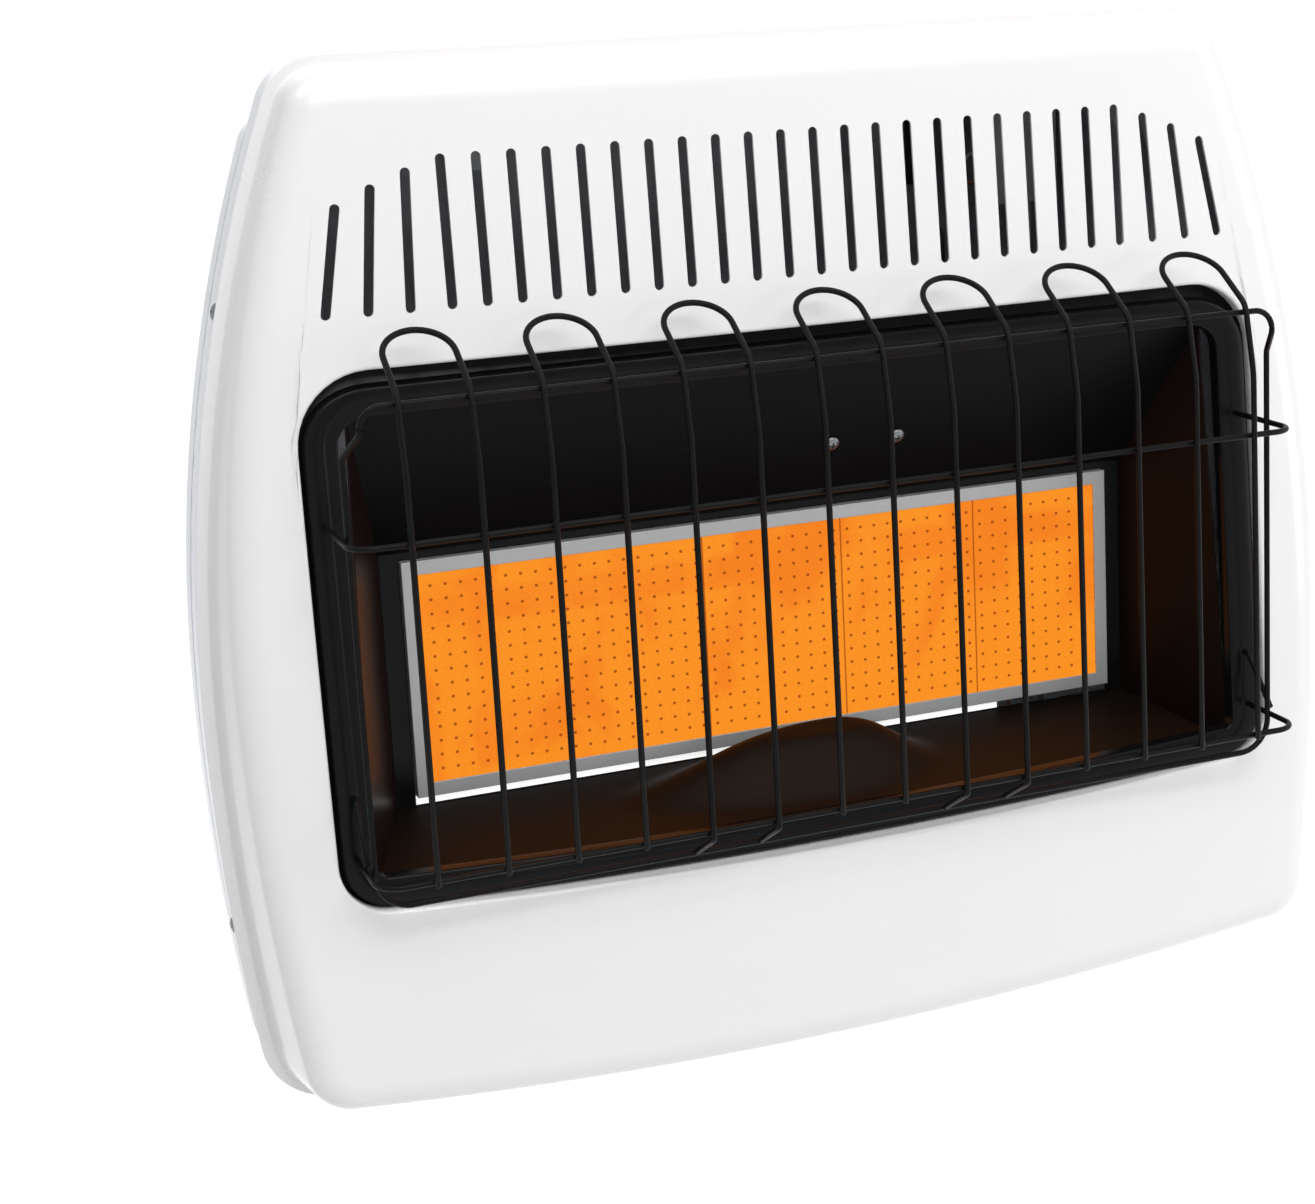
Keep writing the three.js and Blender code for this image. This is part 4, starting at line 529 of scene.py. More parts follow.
def turned(name, profile, sides=32, looped=False):
    """Spins a profile of (radius, height) in millimetres about the Z axis at the origin."""
    rings = []
    for radius, height in profile:
        rings.append([
            Vector((radius * math.cos(turn), radius * math.sin(turn), height)) / 1000
            for turn in (2 * math.pi * k / sides for k in range(sides))
        ])
    return loft(name, rings, looped=looped)


def placed(piece, place, axis=UP):
    """Stands a piece that was made at the origin on its place, with its top along the axis."""
    turn = UP.rotation_difference(axis).to_matrix().to_4x4()
    piece.data.transform(Matrix.Translation(place) @ turn)
    return piece


def bowed_outline(half, widest, upper, lower, top, bottom, base_radius, top_corner, bottom_corner, steps):
    """Mirrored bowed sides, a straight top and a bowed lower edge: (x, z, outward x, outward z)."""
    upper_centre = (half - upper, widest)
    lower_centre = (half - lower, widest)
    base = (0, bottom + base_radius)
    reach, rise = upper - top_corner, top - top_corner - widest
    fillet = (upper_centre[0] + math.sqrt(reach**2 - rise**2), top - top_corner)
    foot = circle_meeting(lower_centre, lower - bottom_corner, base, base_radius - bottom_corner)

    def angle(centre, point):
        return math.atan2(point[1] - centre[1], point[0] - centre[0])

    right = []

    def arc(centre, radius, start, end, count):
        for i in range(count):
            turn = start + (end - start) * i / count
            nx, nz = math.cos(turn), math.sin(turn)
            right.append((centre[0] + radius * nx, centre[1] + radius * nz, nx, nz))

    edge, corner, side, flat = steps
    arc(base, base_radius, -math.pi / 2, angle(base, foot), edge)
    arc(foot, bottom_corner, angle(base, foot), angle(lower_centre, foot), corner)
    arc(lower_centre, lower, angle(lower_centre, foot), 0, side)
    arc(upper_centre, upper, 0, angle(upper_centre, fillet), side)
    arc(fillet, top_corner, angle(upper_centre, fillet), math.pi / 2, corner)
    right += [(fillet[0] * (1 - i / flat), top, 0, 1) for i in range(flat + 1)]
    left = [(-x, z, -nx, nz) for x, z, nx, nz in reversed(right[1:-1])]
    return right + left


def casing_outline(top, top_corner):
    return bowed_outline(
        WIDTH / 2, WIDEST, UPPER_SIDE_RADIUS, LOWER_SIDE_RADIUS, top, 0, FOOT_RADIUS,
        top_corner, CASING_FOOT_CORNER, OUTLINE_STEPS,
    )


OUTLINE_STEPS = (14, 10, 14, 14)  # points of the lower edge, a corner, half a side and half the top
STRAIGHT = 1e6  # the radius of an edge that doesn't bow
CASING = casing_outline(HEIGHT, CASING_TOP_CORNER)
LOW_PAN = casing_outline(HEIGHT - PAN_DROP + CASE_INSET, PAN_TOP_CORNER)
BACK_BOX = bowed_outline(
    BOX_HALF, BOX_WIDEST, STRAIGHT, STRAIGHT, BOX_TOP, BOX_BOTTOM, STRAIGHT, BOX_CORNER, BOX_CORNER,
    OUTLINE_STEPS,
)
WINDOW = bowed_outline(
    WINDOW_HALF, WINDOW_WIDEST, WINDOW_SIDE_RADIUS, WINDOW_SIDE_RADIUS, WINDOW_TOP, WINDOW_BOTTOM,
    WINDOW_FOOT_RADIUS, WINDOW_TOP_CORNER, WINDOW_FOOT_CORNER, OUTLINE_STEPS,
)


def face_out(z, x=0):
    """How far from the wall the front panel's face is: it leans forward downwards and bows back."""
    return FACE_OUT + FACE_LEAN * (FACE_LEVEL - z) - FACE_BOW * (x / FACE_BOW_AT) ** 2


def flat_ring(outline, inset):
    """(x, z) of an outline set in by a number or by a function of the outline point."""
    rows = []
    for point in outline:
        step = inset(point) if callable(inset) else inset
        rows.append((point[0] - point[2] * step, point[1] - point[3] * step))
    return rows


def ring(outline, inset, out):
    return [at(x, out(z, x) if callable(out) else out, z) for x, z in flat_ring(outline, inset)]


def quarter(count):
    """The two distances of a rounded edge of radius 1 from its corner, at each of its points."""
    turns = [math.pi / 2 * k / (count - 1) for k in range(count)]
    return [(1 - math.cos(turn), 1 - math.sin(turn)) for turn in turns]


# ---------------------------------------------------------------- front panel


def wall_inset(point):
    """How far the panel's side wall stands inside the casing's outline where the bevel meets it."""
    return FLANGE + DRAFT * (face_out(point[1], point[0]) - BEVEL_DEPTH - RIM_OUT)


def slot_cutter():
    """All slots as one cutter; the outer ones are shorter and splay outwards towards their feet."""
    cutters = []
    through = (190, 240)
    for index in range(SLOT_COUNT):
        fan = max(0, FANNED_SLOTS - min(index, SLOT_COUNT - 1 - index))
        x = (index - (SLOT_COUNT - 1) / 2) * SLOT_PITCH
        end = SLOT_WIDTH / 2
        top = (x, SLOT_TOP - FAN_DROP * fan - FAN_DROP_GROWTH * fan**2 - end)
        bottom = (x + FAN_SPLAY * fan * math.copysign(1, x), SLOT_BOTTOM + end)
        tilt = math.atan2(top[1] - bottom[1], top[0] - bottom[0])
        edge = []
        for centre, start in ((top, tilt - math.pi / 2), (bottom, tilt + math.pi / 2)):
            for k in range(9):
                turn = start + math.pi * k / 8
                edge.append((centre[0] + end * math.cos(turn), centre[1] + end * math.sin(turn)))
        cutters.append(
            loft(f"slot_{index}", [[at(px, out, pz) for px, pz in edge] for out in through])
        )
    chosen(cutters[0])
    for cutter in cutters:
        cutter.select_set(True)
    bpy.ops.object.join()
    return cutters[0]


def front_panel():
    rings = []
    lip_end = BEZEL_BEHIND + REBATE_DEPTH - GAP
    rings.append(ring(WINDOW, 0, lambda z, x: face_out(z) - lip_end))
    rings.append(ring(
        WINDOW, 0, lambda z, x: (face_out(z) - lip_end + face_out(z, x) - LIP_ROLL) / 2
    ))
    for offset, drop in quarter(6):
        rings.append(ring(
            WINDOW, -LIP_ROLL * offset, lambda z, x, drop=drop: face_out(z, x) - LIP_ROLL * drop
        ))
    inner = flat_ring(WINDOW, -LIP_ROLL)
    outer = flat_ring(CASING, lambda point: wall_inset(point) + BEVEL_WIDTH)
    face_rings = 8
    for k in range(1, face_rings + 1):
        part = k / (face_rings + 1)
        row = []
        for (x0, z0), (x1, z1) in zip(inner, outer):
            x, z = x0 + (x1 - x0) * part, z0 + (z1 - z0) * part
            row.append(at(x, face_out(z, x), z))
        rings.append(row)
    for inward, drop in reversed(quarter(10)):
        rings.append(ring(
            CASING,
            lambda point, inward=inward: wall_inset(point) + BEVEL_WIDTH * inward,
            lambda z, x, drop=drop: face_out(z, x) - BEVEL_DEPTH * drop,
        ))
    rings.append(ring(CASING, FLANGE + 0.6, RIM_OUT + 2.0))
    rings.append(ring(CASING, FLANGE + 0.1, RIM_OUT + 0.6))
    rings.append(ring(CASING, FLANGE - 0.9, RIM_OUT))
    rings.append(ring(CASING, 0.5, RIM_OUT))
    rings.append(ring(CASING, 0.0, RIM_OUT - 0.5))
    piece = loft("front_panel_shell", rings, (False, False))
    modify(piece, "SOLIDIFY", thickness=SHEET / 1000, offset=-1, material_offset=1)
    cut(piece, slot_cutter())
    smooth(piece, 35)
    modify(piece, "WEIGHTED_NORMAL", keep_sharp=True, weight=80)
    dress(piece, WHITE, "front_panel", inside=PRIMER)


front_panel()

# ---------------------------------------------------------------- window bezel


def rail_width(point, widths):
    """Runs from the side's width to the top's or bottom's as the outline turns."""
    up = max(0, point[3]) ** 2
    down = max(0, -point[3]) ** 2
    return widths["side"] * (1 - up - down) + widths["top"] * up + widths["bottom"] * down


def window_bezel():
    def rebate(more):
        return lambda point: rail_width(point, REBATE) + more

    def rail(part=1.0, more=0.0):
        return lambda point: rail_width(point, RAIL) * part + more

    def behind(depth):
        return lambda z, x: face_out(z) - BEZEL_BEHIND - depth

    step_end = RETURN_BEHIND - BEZEL_BEHIND
    profile = [
        (-BEZEL_OVERLAP, REBATE_DEPTH),
        (rebate(-0.4), REBATE_DEPTH),
        (rebate(0.1), REBATE_DEPTH - 0.4),
        (rebate(SLOPE_WIDTH - 0.6), 0.9),
        (rebate(SLOPE_WIDTH), 0.25),
        (rebate(SLOPE_WIDTH + 0.9), 0),
        (rail(RAIL_STEP_AT, -0.3), 0),
        (rail(RAIL_STEP_AT, 0.3), 0.12),
        (rail(RAIL_STEP_AT, SLOPE_WIDTH - 0.3), RAIL_STEP - 0.12),
        (rail(RAIL_STEP_AT, SLOPE_WIDTH + 0.3), RAIL_STEP),
        (rail(1, -1.6), RAIL_STEP),
        (rail(1, -0.7), RAIL_STEP + 0.25),
        (rail(1, -0.15), RAIL_STEP + 0.9),
        (rail(), RAIL_STEP + 1.8),
        (rail(), step_end),
        (rail(1, -SHEET), step_end),
        (rail(1, -SHEET), RAIL_STEP + SHEET),
        (rebate(SLOPE_WIDTH), RAIL_STEP + SHEET),
        (rebate(-SLOPE_WIDTH), REBATE_DEPTH + SHEET),
        (-BEZEL_OVERLAP, REBATE_DEPTH + SHEET),
    ]
    rings = [ring(WINDOW, inset, behind(depth)) for inset, depth in profile]
    piece = loft("bezel", rings, looped=True)
    smooth(piece, 40)
    dress(piece, BEZEL_BLACK, "window_bezel")


window_bezel()

# ---------------------------------------------------------------- rear case


def carve(piece, operation, half, out, z, x=0):
    """Adds or takes away a block: half its width each side of x, between two distances and heights."""
    size = (2 * half, out[1] - out[0], z[1] - z[0])
    centre = (x, -(out[0] + out[1]) / 2, (z[0] + z[1]) / 2 - BRACKET_HEIGHT)
    cut(piece, box("block", size, centre), operation)


def drill(piece, x, radius, z):
    """Takes an upright hole away at the controls' distance from the wall."""
    bore = turned("bore", [(radius, z - 20), (radius, z + 10)])
    cut(piece, placed(bore, at(x, CONTROL_OUT, 0)))


def bracket_recess(piece):
    """The pocket in the back that the wall bracket lies in, with a slot for each of its hooks."""
    low = BRACKET_HEIGHT - BRACKET_TALL / 2
    high = BRACKET_HEIGHT + BRACKET_TALL / 2
    half, depth = BRACKET_HALF + GAP, BRACKET_SHEET + GAP
    bottom, top = low - GAP, high + HOOK_RISE + GAP
    carve(piece, "UNION", half + SHEET, (SHEET / 2, depth + SHEET), (bottom - SHEET, top + SHEET))
    carve(piece, "DIFFERENCE", half, (-1, depth), (bottom, top))
    hook_z = (high - BRACKET_SHEET - GAP, high + GAP)
    for x in (-HOOK_X, HOOK_X):
        carve(piece, "DIFFERENCE", HOOK_WIDTH / 2 + GAP, (1, 6), hook_z, x)


def case_box():
    rings = []
    for out, inset in quarter(6):
        rings.append(ring(BACK_BOX, BOX_EDGE * inset, BOX_EDGE * out))
    rings.append(ring(BACK_BOX, 0, PAN_BACK_OUT / 2))
    rings.append(ring(BACK_BOX, 0, PAN_BACK_OUT - 3))
    rings.append(ring(BACK_BOX, -0.9, PAN_BACK_OUT - 0.9))
    rings.append(ring(BACK_BOX, -3, PAN_BACK_OUT))
    for out, inset in quarter(8):
        rings.append(ring(LOW_PAN, CASE_INSET + PAN_EDGE * inset, PAN_BACK_OUT + PAN_EDGE * out))
    rings.append(ring(LOW_PAN, CASE_INSET, PAN_STEP_OUT + 1))
    piece = loft("case_box", rings, (True, False))
    modify(piece, "SOLIDIFY", thickness=SHEET / 1000, offset=-1, material_offset=1)
    bracket_recess(piece)
    drill(piece, VALVE_X, NECK_RADIUS + GAP, BOX_TOP)
    drill(piece, IGNITER_X, NOSE_RADIUS + GAP, BOX_TOP)
    drill(piece, VALVE_X + PORT_SPREAD, FITTING_RADIUS + GAP, BOX_BOTTOM)
    smooth(piece, 35)
    dress(piece, CASE_WHITE, "rear_case", inside=INNER_GREY_AND_SHADE)


def case_pan():
    rings = [ring(CASING, PAN_STEP_WIDTH, PAN_STEP_OUT)]
    for out, inset in quarter(5):
        rings.append(ring(
            CASING, CASE_INSET + PAN_STEP_EDGE * inset, PAN_STEP_OUT + PAN_STEP_EDGE * out
        ))
    rings.append(ring(CASING, CASE_INSET, PAN_STEP_OUT + 18))
    rings.append(ring(CASING, CASE_INSET, RIM_OUT - SHEET - GAP))
    piece = loft("case_pan", rings, (False, False))
    modify(piece, "SOLIDIFY", thickness=SHEET / 1000, offset=-1, material_offset=1)
    for number in range(AIR_SLOT_COUNT):
        x = (number - (AIR_SLOT_COUNT - 1) / 2) * AIR_SLOT_PITCH
        slot_out = (AIR_SLOT_OUT, AIR_SLOT_OUT + AIR_SLOT_DEPTH)
        carve(piece, "DIFFERENCE", AIR_SLOT_WIDTH / 2, slot_out, (-10, 30), x)
    smooth(piece, 35)
    dress(piece, CASE_WHITE, "rear_case", inside=INNER_GREY_AND_SHADE)


case_box()
case_pan()

# ---------------------------------------------------------------- reflector tray


TRAY_FRONT_OUT = face_out(TRAY_FRONT) - RETURN_BEHIND - GAP


def tray_half(out):
    part = (out - REFLECTOR_OUT) / (TRAY_FRONT_OUT - REFLECTOR_OUT)
    return REFLECTOR_REAR_HALF + (REFLECTOR_FRONT_HALF - REFLECTOR_REAR_HALF) * part


def hump(x, out):
    """The rise of the tray over the pilot: long at the left, short at the right."""
    reach = HUMP_LEFT if x < HUMP_X else HUMP_RIGHT
    away = math.hypot((x - HUMP_X) / reach, (out - HUMP_OUT) / HUMP_HALF_DEPTH)
    down = min(1, max(0, (away - HUMP_FLAT) / (1 - HUMP_FLAT)))
    return HUMP_HEIGHT * math.cos(math.pi / 2 * down) ** 2


def bottom_tray():
    deselect()
    bpy.ops.mesh.primitive_grid_add(x_subdivisions=140, y_subdivisions=36, size=2)
    piece = bpy.context.object
    piece.name = "tray_sheet"
    for vertex in piece.data.vertices:
        part = (1 - vertex.co.y) / 2
        out = TRAY_FRONT_OUT + (REFLECTOR_OUT - TRAY_FRONT_OUT) * part
        x = vertex.co.x * (tray_half(out) + TRAY_COVER)
        vertex.co = at(x, out, TRAY_FRONT + (TRAY_REAR - TRAY_FRONT) * part + hump(x, out))
    chosen(piece)
    bpy.ops.object.mode_set(mode="EDIT")
    bpy.ops.mesh.select_all(action="SELECT")
    bpy.ops.mesh.normals_make_consistent(inside=False)
    bpy.ops.object.mode_set(mode="OBJECT")
    if piece.data.polygons[0].normal.z < 0:
        piece.data.flip_normals()
    modify(piece, "SOLIDIFY", thickness=THIN_SHEET / 1000, offset=-1)
    smooth(piece, 40)
    dress(piece, TRAY_BROWN, "bottom_tray")


bottom_tray()

# ---------------------------------------------------------------- flat metal and ceramic pieces


def softened(node, finish, width, segments=2):
    """A copy of a flat-sided CAD node with its edges rounded over a width in millimetres."""
    source = frame["nodes"][node]
    piece = bpy.data.objects.new(f"{node}_edged", source.data.copy())
    bpy.context.scene.collection.objects.link(piece)
    chosen(piece)
    bpy.ops.object.mode_set(mode="EDIT")
    bpy.ops.mesh.select_all(action="SELECT")
    bpy.ops.mesh.remove_doubles(threshold=0.00002)
    bpy.ops.mesh.dissolve_limited(angle_limit=math.radians(1))
    bpy.ops.object.mode_set(mode="OBJECT")
    modify(
        piece, "BEVEL", width=width / 1000, segments=segments, limit_method="ANGLE",
        angle_limit=math.radians(40), use_clamp_overlap=True,
    )
    smooth(piece, 40)
    modify(piece, "WEIGHTED_NORMAL", keep_sharp=True)
    dress(piece, finish, node)


for number in range(1, 6):
    softened(f"ceramic_plaque_{number}", GLOW, 0.5)
softened("burner_frame", ALUMINISED, 0.45)
softened("lower_deflector", DEFLECTOR_PAINTED_GLOW, 0.3)
softened("burner_surround", BEZEL_BLACK, 0.3)
softened("gas_valve", CAST, 1.2, 3)
softened("burner_bracket_left", ZINC, 0.3)
softened("burner_bracket_right", ZINC, 0.3)
softened("burner_plenum", ALUMINISED, 0.4)

# ---------------------------------------------------------------- wires


def bent(corners, radii, steps=6):
    """Rounds each corner of a route with an arc of its bend radius, all in metres."""
    if not isinstance(radii, (list, tuple)):
        radii = [radii] * (len(corners) - 2)
    route = [corners[0]]
    for before, corner, after, radius in zip(corners, corners[1:], corners[2:], radii):
        radius = radius / 1000
        back = (before - corner).normalized()
        ahead = (after - corner).normalized()
        half = back.angle(ahead) / 2
        start = corner + back * radius / math.tan(half)
        end = corner + ahead * radius / math.tan(half)
        centre = corner + (back + ahead).normalized() * radius / math.sin(half)
        for k in range(steps + 1):
            spoke = start.lerp(end, k / steps) - centre
            route.append(centre + spoke.normalized() * radius)
    route.append(corners[-1])
    return route


def tube_rings(route):
    """Circles of the wire's radius square to the route, without a twist from one to the next."""
    radius, sides = WIRE / 2000, 12
    ahead = [(b - a).normalized() for a, b in zip(route, route[1:])]
    tangents = [ahead[0]] + [(a + b).normalized() for a, b in zip(ahead, ahead[1:])] + [ahead[-1]]
    side = tangents[0].orthogonal().normalized()
    rings = []
    for i, (place, tangent) in enumerate(zip(route, tangents)):
        if i:
            side = tangents[i - 1].rotation_difference(tangent) @ side
        side = (side - tangent * side.dot(tangent)).normalized()
        up = tangent.cross(side)
        rings.append([
            place + (side * math.cos(turn) + up * math.sin(turn)) * radius
            for turn in (2 * math.pi * k / sides for k in range(sides))
        ])
    return rings


def wire(name, node, route):
    """A round wire with its ends slightly rounded."""
    rings = tube_rings(route)
    face, setback = 0.6, 0.3 * WIRE / 2000
    first, last = route[0], route[-1]
    start = [first + (place - first) * face for place in rings[0]]
    end = [last + (place - last) * face for place in rings[-1]]
    from_start = (route[1] - first).normalized() * setback
    from_end = (route[-2] - last).normalized() * setback
    rings[0] = [place + from_start for place in rings[0]]
    rings[-1] = [place + from_end for place in rings[-1]]
    piece = loft(name, [start, *rings, end])
    smooth(piece, 60)
    dress(piece, WIRE_BLACK, node)


def leg_out(z):
    return DEPTH - WIRE / 2 - LEG_LEAN * (z - LEG_BOTTOM)


def hairpin(index):
    """Two legs that lean back above a shoulder and join in a loop; two hairpins also have feet."""
    centre = (index - (HAIRPIN_COUNT - 1) / 2) * 2 * LEG_PITCH
    half = LEG_PITCH / 2
    lean = Vector((LOOP_OUT - BEND_OUT, LOOP_HEIGHT - BEND_HEIGHT))
    straight = lean.length - half
    lean.normalize()

    def on_loop(x, along):
        return at(x, BEND_OUT + lean.x * along, BEND_HEIGHT + lean.y * along)

    def leg(side):
        x = centre + side * half
        corners = [at(x, leg_out(SHOULDER), SHOULDER), at(x, BEND_OUT, BEND_HEIGHT), on_loop(x, straight)]
        radii = [SHOULDER_BEND, LOOP_BEND]
        if index not in FOOTED_HAIRPINS:
            return bent([at(x, leg_out(LEG_BOTTOM), LEG_BOTTOM), *corners], radii)
        bend = Vector((leg_out(LEG_BOTTOM - FOOT_DROP), LEG_BOTTOM - FOOT_DROP))
        low = Vector((PERIMETER_OUT, PERIMETER_BOTTOM))
        end = low + (bend - low).normalized() * (WIRE / 2 + 2 * GAP)
        return bent([at(x, *end), at(x, *bend), *corners], [FOOT_BEND, *radii])

    loop_steps = 20
    turns = [math.pi * k / loop_steps for k in range(1, loop_steps)]
    loop = [on_loop(centre - half * math.cos(t), straight + half * math.sin(t)) for t in turns]
    route = leg(-1) + loop + leg(1)[::-1]
    wire(f"hairpin_{index + 1}", f"guard_hairpin_{index + 1}", route)


for number in range(HAIRPIN_COUNT):
    hairpin(number)


def bezel_out(z, depth):
    return face_out(z) - BEZEL_BEHIND - depth


def staple(name, node, height):
    tail = bezel_out(height, RAIL_STEP + SHEET + STAPLE_TAIL)
    front = leg_out(height) - WELD
    corners = ((-ARM_X, tail), (-ARM_X, front), (ARM_X, front), (ARM_X, tail))
    wire(name, node, bent([at(x, out, height) for x, out in corners], STAPLE_CORNER, 10))


staple("staple_middle", "guard_staple_middle", MIDDLE_STAPLE)
staple("staple_lower", "guard_staple_lower", LOWER_STAPLE)


def perimeter():
    """The closed wire round the guard, whose top run steps forward and in behind the legs."""
    x = ARM_X - WELD
    narrowed = x - PERIMETER_NARROWING
    slope = (leg_out(SHOULDER) - BEND_OUT) / (BEND_HEIGHT - SHOULDER)
    top_out = BEND_OUT + slope * (BEND_HEIGHT - PERIMETER_TOP) - WELD - GAP
    half = bent([
        at(0, PERIMETER_OUT, PERIMETER_BOTTOM), at(x, PERIMETER_OUT, PERIMETER_BOTTOM),
        at(x, PERIMETER_OUT, PERIMETER_STEP[0]), at(narrowed, top_out, PERIMETER_STEP[1]),
        at(narrowed, top_out, PERIMETER_TOP), at(0, top_out, PERIMETER_TOP),
    ], PERIMETER_BENDS, 8)
    mirrored = [Vector((-place.x, place.y, place.z)) for place in half[1:-1]][::-1]
    route = half + mirrored
    rings = tube_rings([*route, route[0]])[:-1]
    piece = loft("perimeter", rings, looped=True)
    smooth(piece, 60)
    dress(piece, WIRE_BLACK, "guard_perimeter")


perimeter()


def stay(side, word):
    """A short brace from the bezel down to the lower staple's arm."""
    bezel = bezel_out(STAY_HEIGHT, 0)
    route = bent([
        at(side * STAY_X, bezel - RAIL_STEP - SHEET - STAY_REACH, STAY_HEIGHT),
        at(side * STAY_X, bezel + STAY_REACH, STAY_HEIGHT),
        at(side * ARM_X, STAY_END, LOWER_STAPLE + WELD + GAP),
    ], STAY_BEND)
    wire(f"stay_{word}", f"guard_stay_{word}", route)


stay(-1, "left")
stay(1, "right")

# ---------------------------------------------------------------- screws


def screw_model():
    """A domed head with a cross in it, on a plain shank that points down from the origin."""
    brim = 0.25
    profile = [
        (SCREW_RADIUS - 0.6, -SCREW_LENGTH), (SCREW_RADIUS, 0.7 - SCREW_LENGTH), (SCREW_RADIUS, 0),
        (SCREW_HEAD - 0.2, 0), (SCREW_HEAD, brim),
    ]
    for k in range(1, 7):
        turn = math.pi / 2 * k / 6.6
        rise = (SCREW_HEAD_HEIGHT - brim) * math.sin(turn)
        profile.append((SCREW_HEAD * math.cos(turn), brim + rise))
    piece = turned("screw_model", profile)
    for size in ((5.0, 0.9, 2.8), (0.9, 5.0, 2.8)):
        cut(piece, box("cross", size, (0, 0, SCREW_HEAD_HEIGHT - 0.1)))
    smooth(piece, 35)
    return piece


def side_screw_places():
    places = []
    for side in (-1, 1):
        for z in SIDE_SCREW_HEIGHTS:
            radius = UPPER_SIDE_RADIUS if z > WIDEST else LOWER_SIDE_RADIUS
            half = WIDTH / 2 - radius + math.sqrt(radius**2 - (z - WIDEST) ** 2)
            slope = (z - WIDEST) / radius
            axis = Vector((side * math.sqrt(1 - slope**2), 0, slope))
            seat = at(side * half, RIM_OUT - SHEET - GAP - SKIRT_DEPTH / 2, z)
            places.append((seat + axis * (GAP - CASE_INSET) / 1000, axis))
    return places


def hood_screw_places():
    front = WINDOW_TOP - RAIL["top"]
    front_out = face_out(front) - RETURN_BEHIND - GAP
    slope = Vector((0, REFLECTOR_OUT - front_out, front - HOOD_REAR)).normalized()
    normal = Vector((0, -slope.z, slope.y))
    part = (HOOD_SCREW_OUT - REFLECTOR_OUT) / (front_out - REFLECTOR_OUT)
    height = HOOD_REAR + (front - HOOD_REAR) * part
    return [(at(x, HOOD_SCREW_OUT, height) + normal * GAP / 1000, normal) for x in HOOD_SCREW_XS]


def screws():
    model = screw_model()
    for word, places in (("side", side_screw_places()), ("hood", hood_screw_places())):
        for number, (seat, axis) in enumerate(places, 1):
            piece = model.copy()
            piece.data = model.data.copy()
            piece.name = f"{word}_screw_{number}_head"
            bpy.context.scene.collection.objects.link(piece)
            placed(piece, seat, axis)
            dress(piece, SCREW_STEEL, f"{word}_screw_{number}")
    bpy.data.objects.remove(model)


screws()

# ---------------------------------------------------------------- knob, dial and igniter


def knob_skirt():
    """The knob's round foot, fluted where the last value of its profile is 1."""
    sides, flute_depth = 96, 0.55
    profile = [
        (12.5, 0.0, 0), (KNOB_RADIUS - 1.0, 0.0, 0), (KNOB_RADIUS - 0.2, 0.5, 1), (KNOB_RADIUS, 1.4, 1),
        (KNOB_RADIUS - 0.2, 6.4, 1), (KNOB_RADIUS - 1.4, 8.2, 1), (KNOB_RADIUS - 3.2, 8.9, 0),
        (4.0, 9.0, 0),
    ]
    rings = []
    for radius, height, fluted in profile:
        row = []
        for k in range(sides):
            turn = 2 * math.pi * k / sides
            flute = flute_depth * fluted * (0.5 + 0.5 * math.cos(KNOB_FLUTES * turn)) ** 2
            reach = (radius - flute) / 1000
            row.append(Vector((reach * math.cos(turn), reach * math.sin(turn), height / 1000)))
        rings.append(row)
    piece = loft("knob_skirt", rings)
    placed(piece, at(VALVE_X, CONTROL_OUT, KNOB_BOTTOM))
    smooth(piece, 40)
    dress(piece, KNOB_BLACK, "control_knob", "control_knob")


def knob_grip():
    """The bar across the knob: waisted for the fingers and narrower towards its top."""
    width, length, tall = 12, 36, 17.5
    piece = box("knob_grip", (width, length, tall), (0, 0, KNOB_TALL - tall / 2))
    bpy.ops.object.mode_set(mode="EDIT")
    bpy.ops.mesh.select_all(action="SELECT")
    bpy.ops.mesh.subdivide(number_cuts=5)
    bpy.ops.object.mode_set(mode="OBJECT")
    for vertex in piece.data.vertices:
        waist = 1 - 0.28 * math.cos(math.pi * vertex.co.y * 1000 / length)
        up = (vertex.co.z * 1000 - (KNOB_TALL - tall)) / tall
        vertex.co.x *= waist * (1 - 0.18 * up)
        vertex.co.y *= 1 - 0.10 * up
    modify(piece, "BEVEL", width=0.0012, segments=3, limit_method="ANGLE", angle_limit=math.radians(50))
    placed(piece, at(VALVE_X, CONTROL_OUT, KNOB_BOTTOM))
    smooth(piece, 45)
    dress(piece, KNOB_BLACK, "control_knob", "control_knob")


def knob_pointer():
    piece = box("knob_pointer", (1.6, 13, 0.8), (0, -8.5, KNOB_TALL - 0.42))
    modify(piece, "BEVEL", width=0.0002, segments=2)
    placed(piece, at(VALVE_X, CONTROL_OUT, KNOB_BOTTOM))
    smooth(piece, 40)
    dress(piece, POINTER_WHITE, None, "control_knob")


knob_skirt()
knob_grip()
knob_pointer()


def dial_disc():
    inner, edge, top = NECK_RADIUS + 0.4, DIAL_RADIUS, DIAL_THICKNESS
    profile = [
        (inner, 0), (edge - 0.4, 0), (edge, 0.4), (edge, 0.9), (edge - 0.5, 1.15), (edge - 1.6, top),
        (inner, top),
    ]
    piece = turned("dial_disc", profile, 72, looped=True)
    placed(piece, at(VALVE_X, CONTROL_OUT, BOX_TOP + GAP))
    smooth(piece, 30)
    dress(piece, CAST, "dial_plate")


def dial_mark(step):
    """Every other mark is a long one."""
    piece = box("dial_mark", (1.4 if step % 2 else 2.6, 0.6, 0.16), (22.8, 0, 0))
    piece.data.transform(Matrix.Rotation(-math.pi / 2 + math.radians(20 * step), 4, "Z"))
    return piece


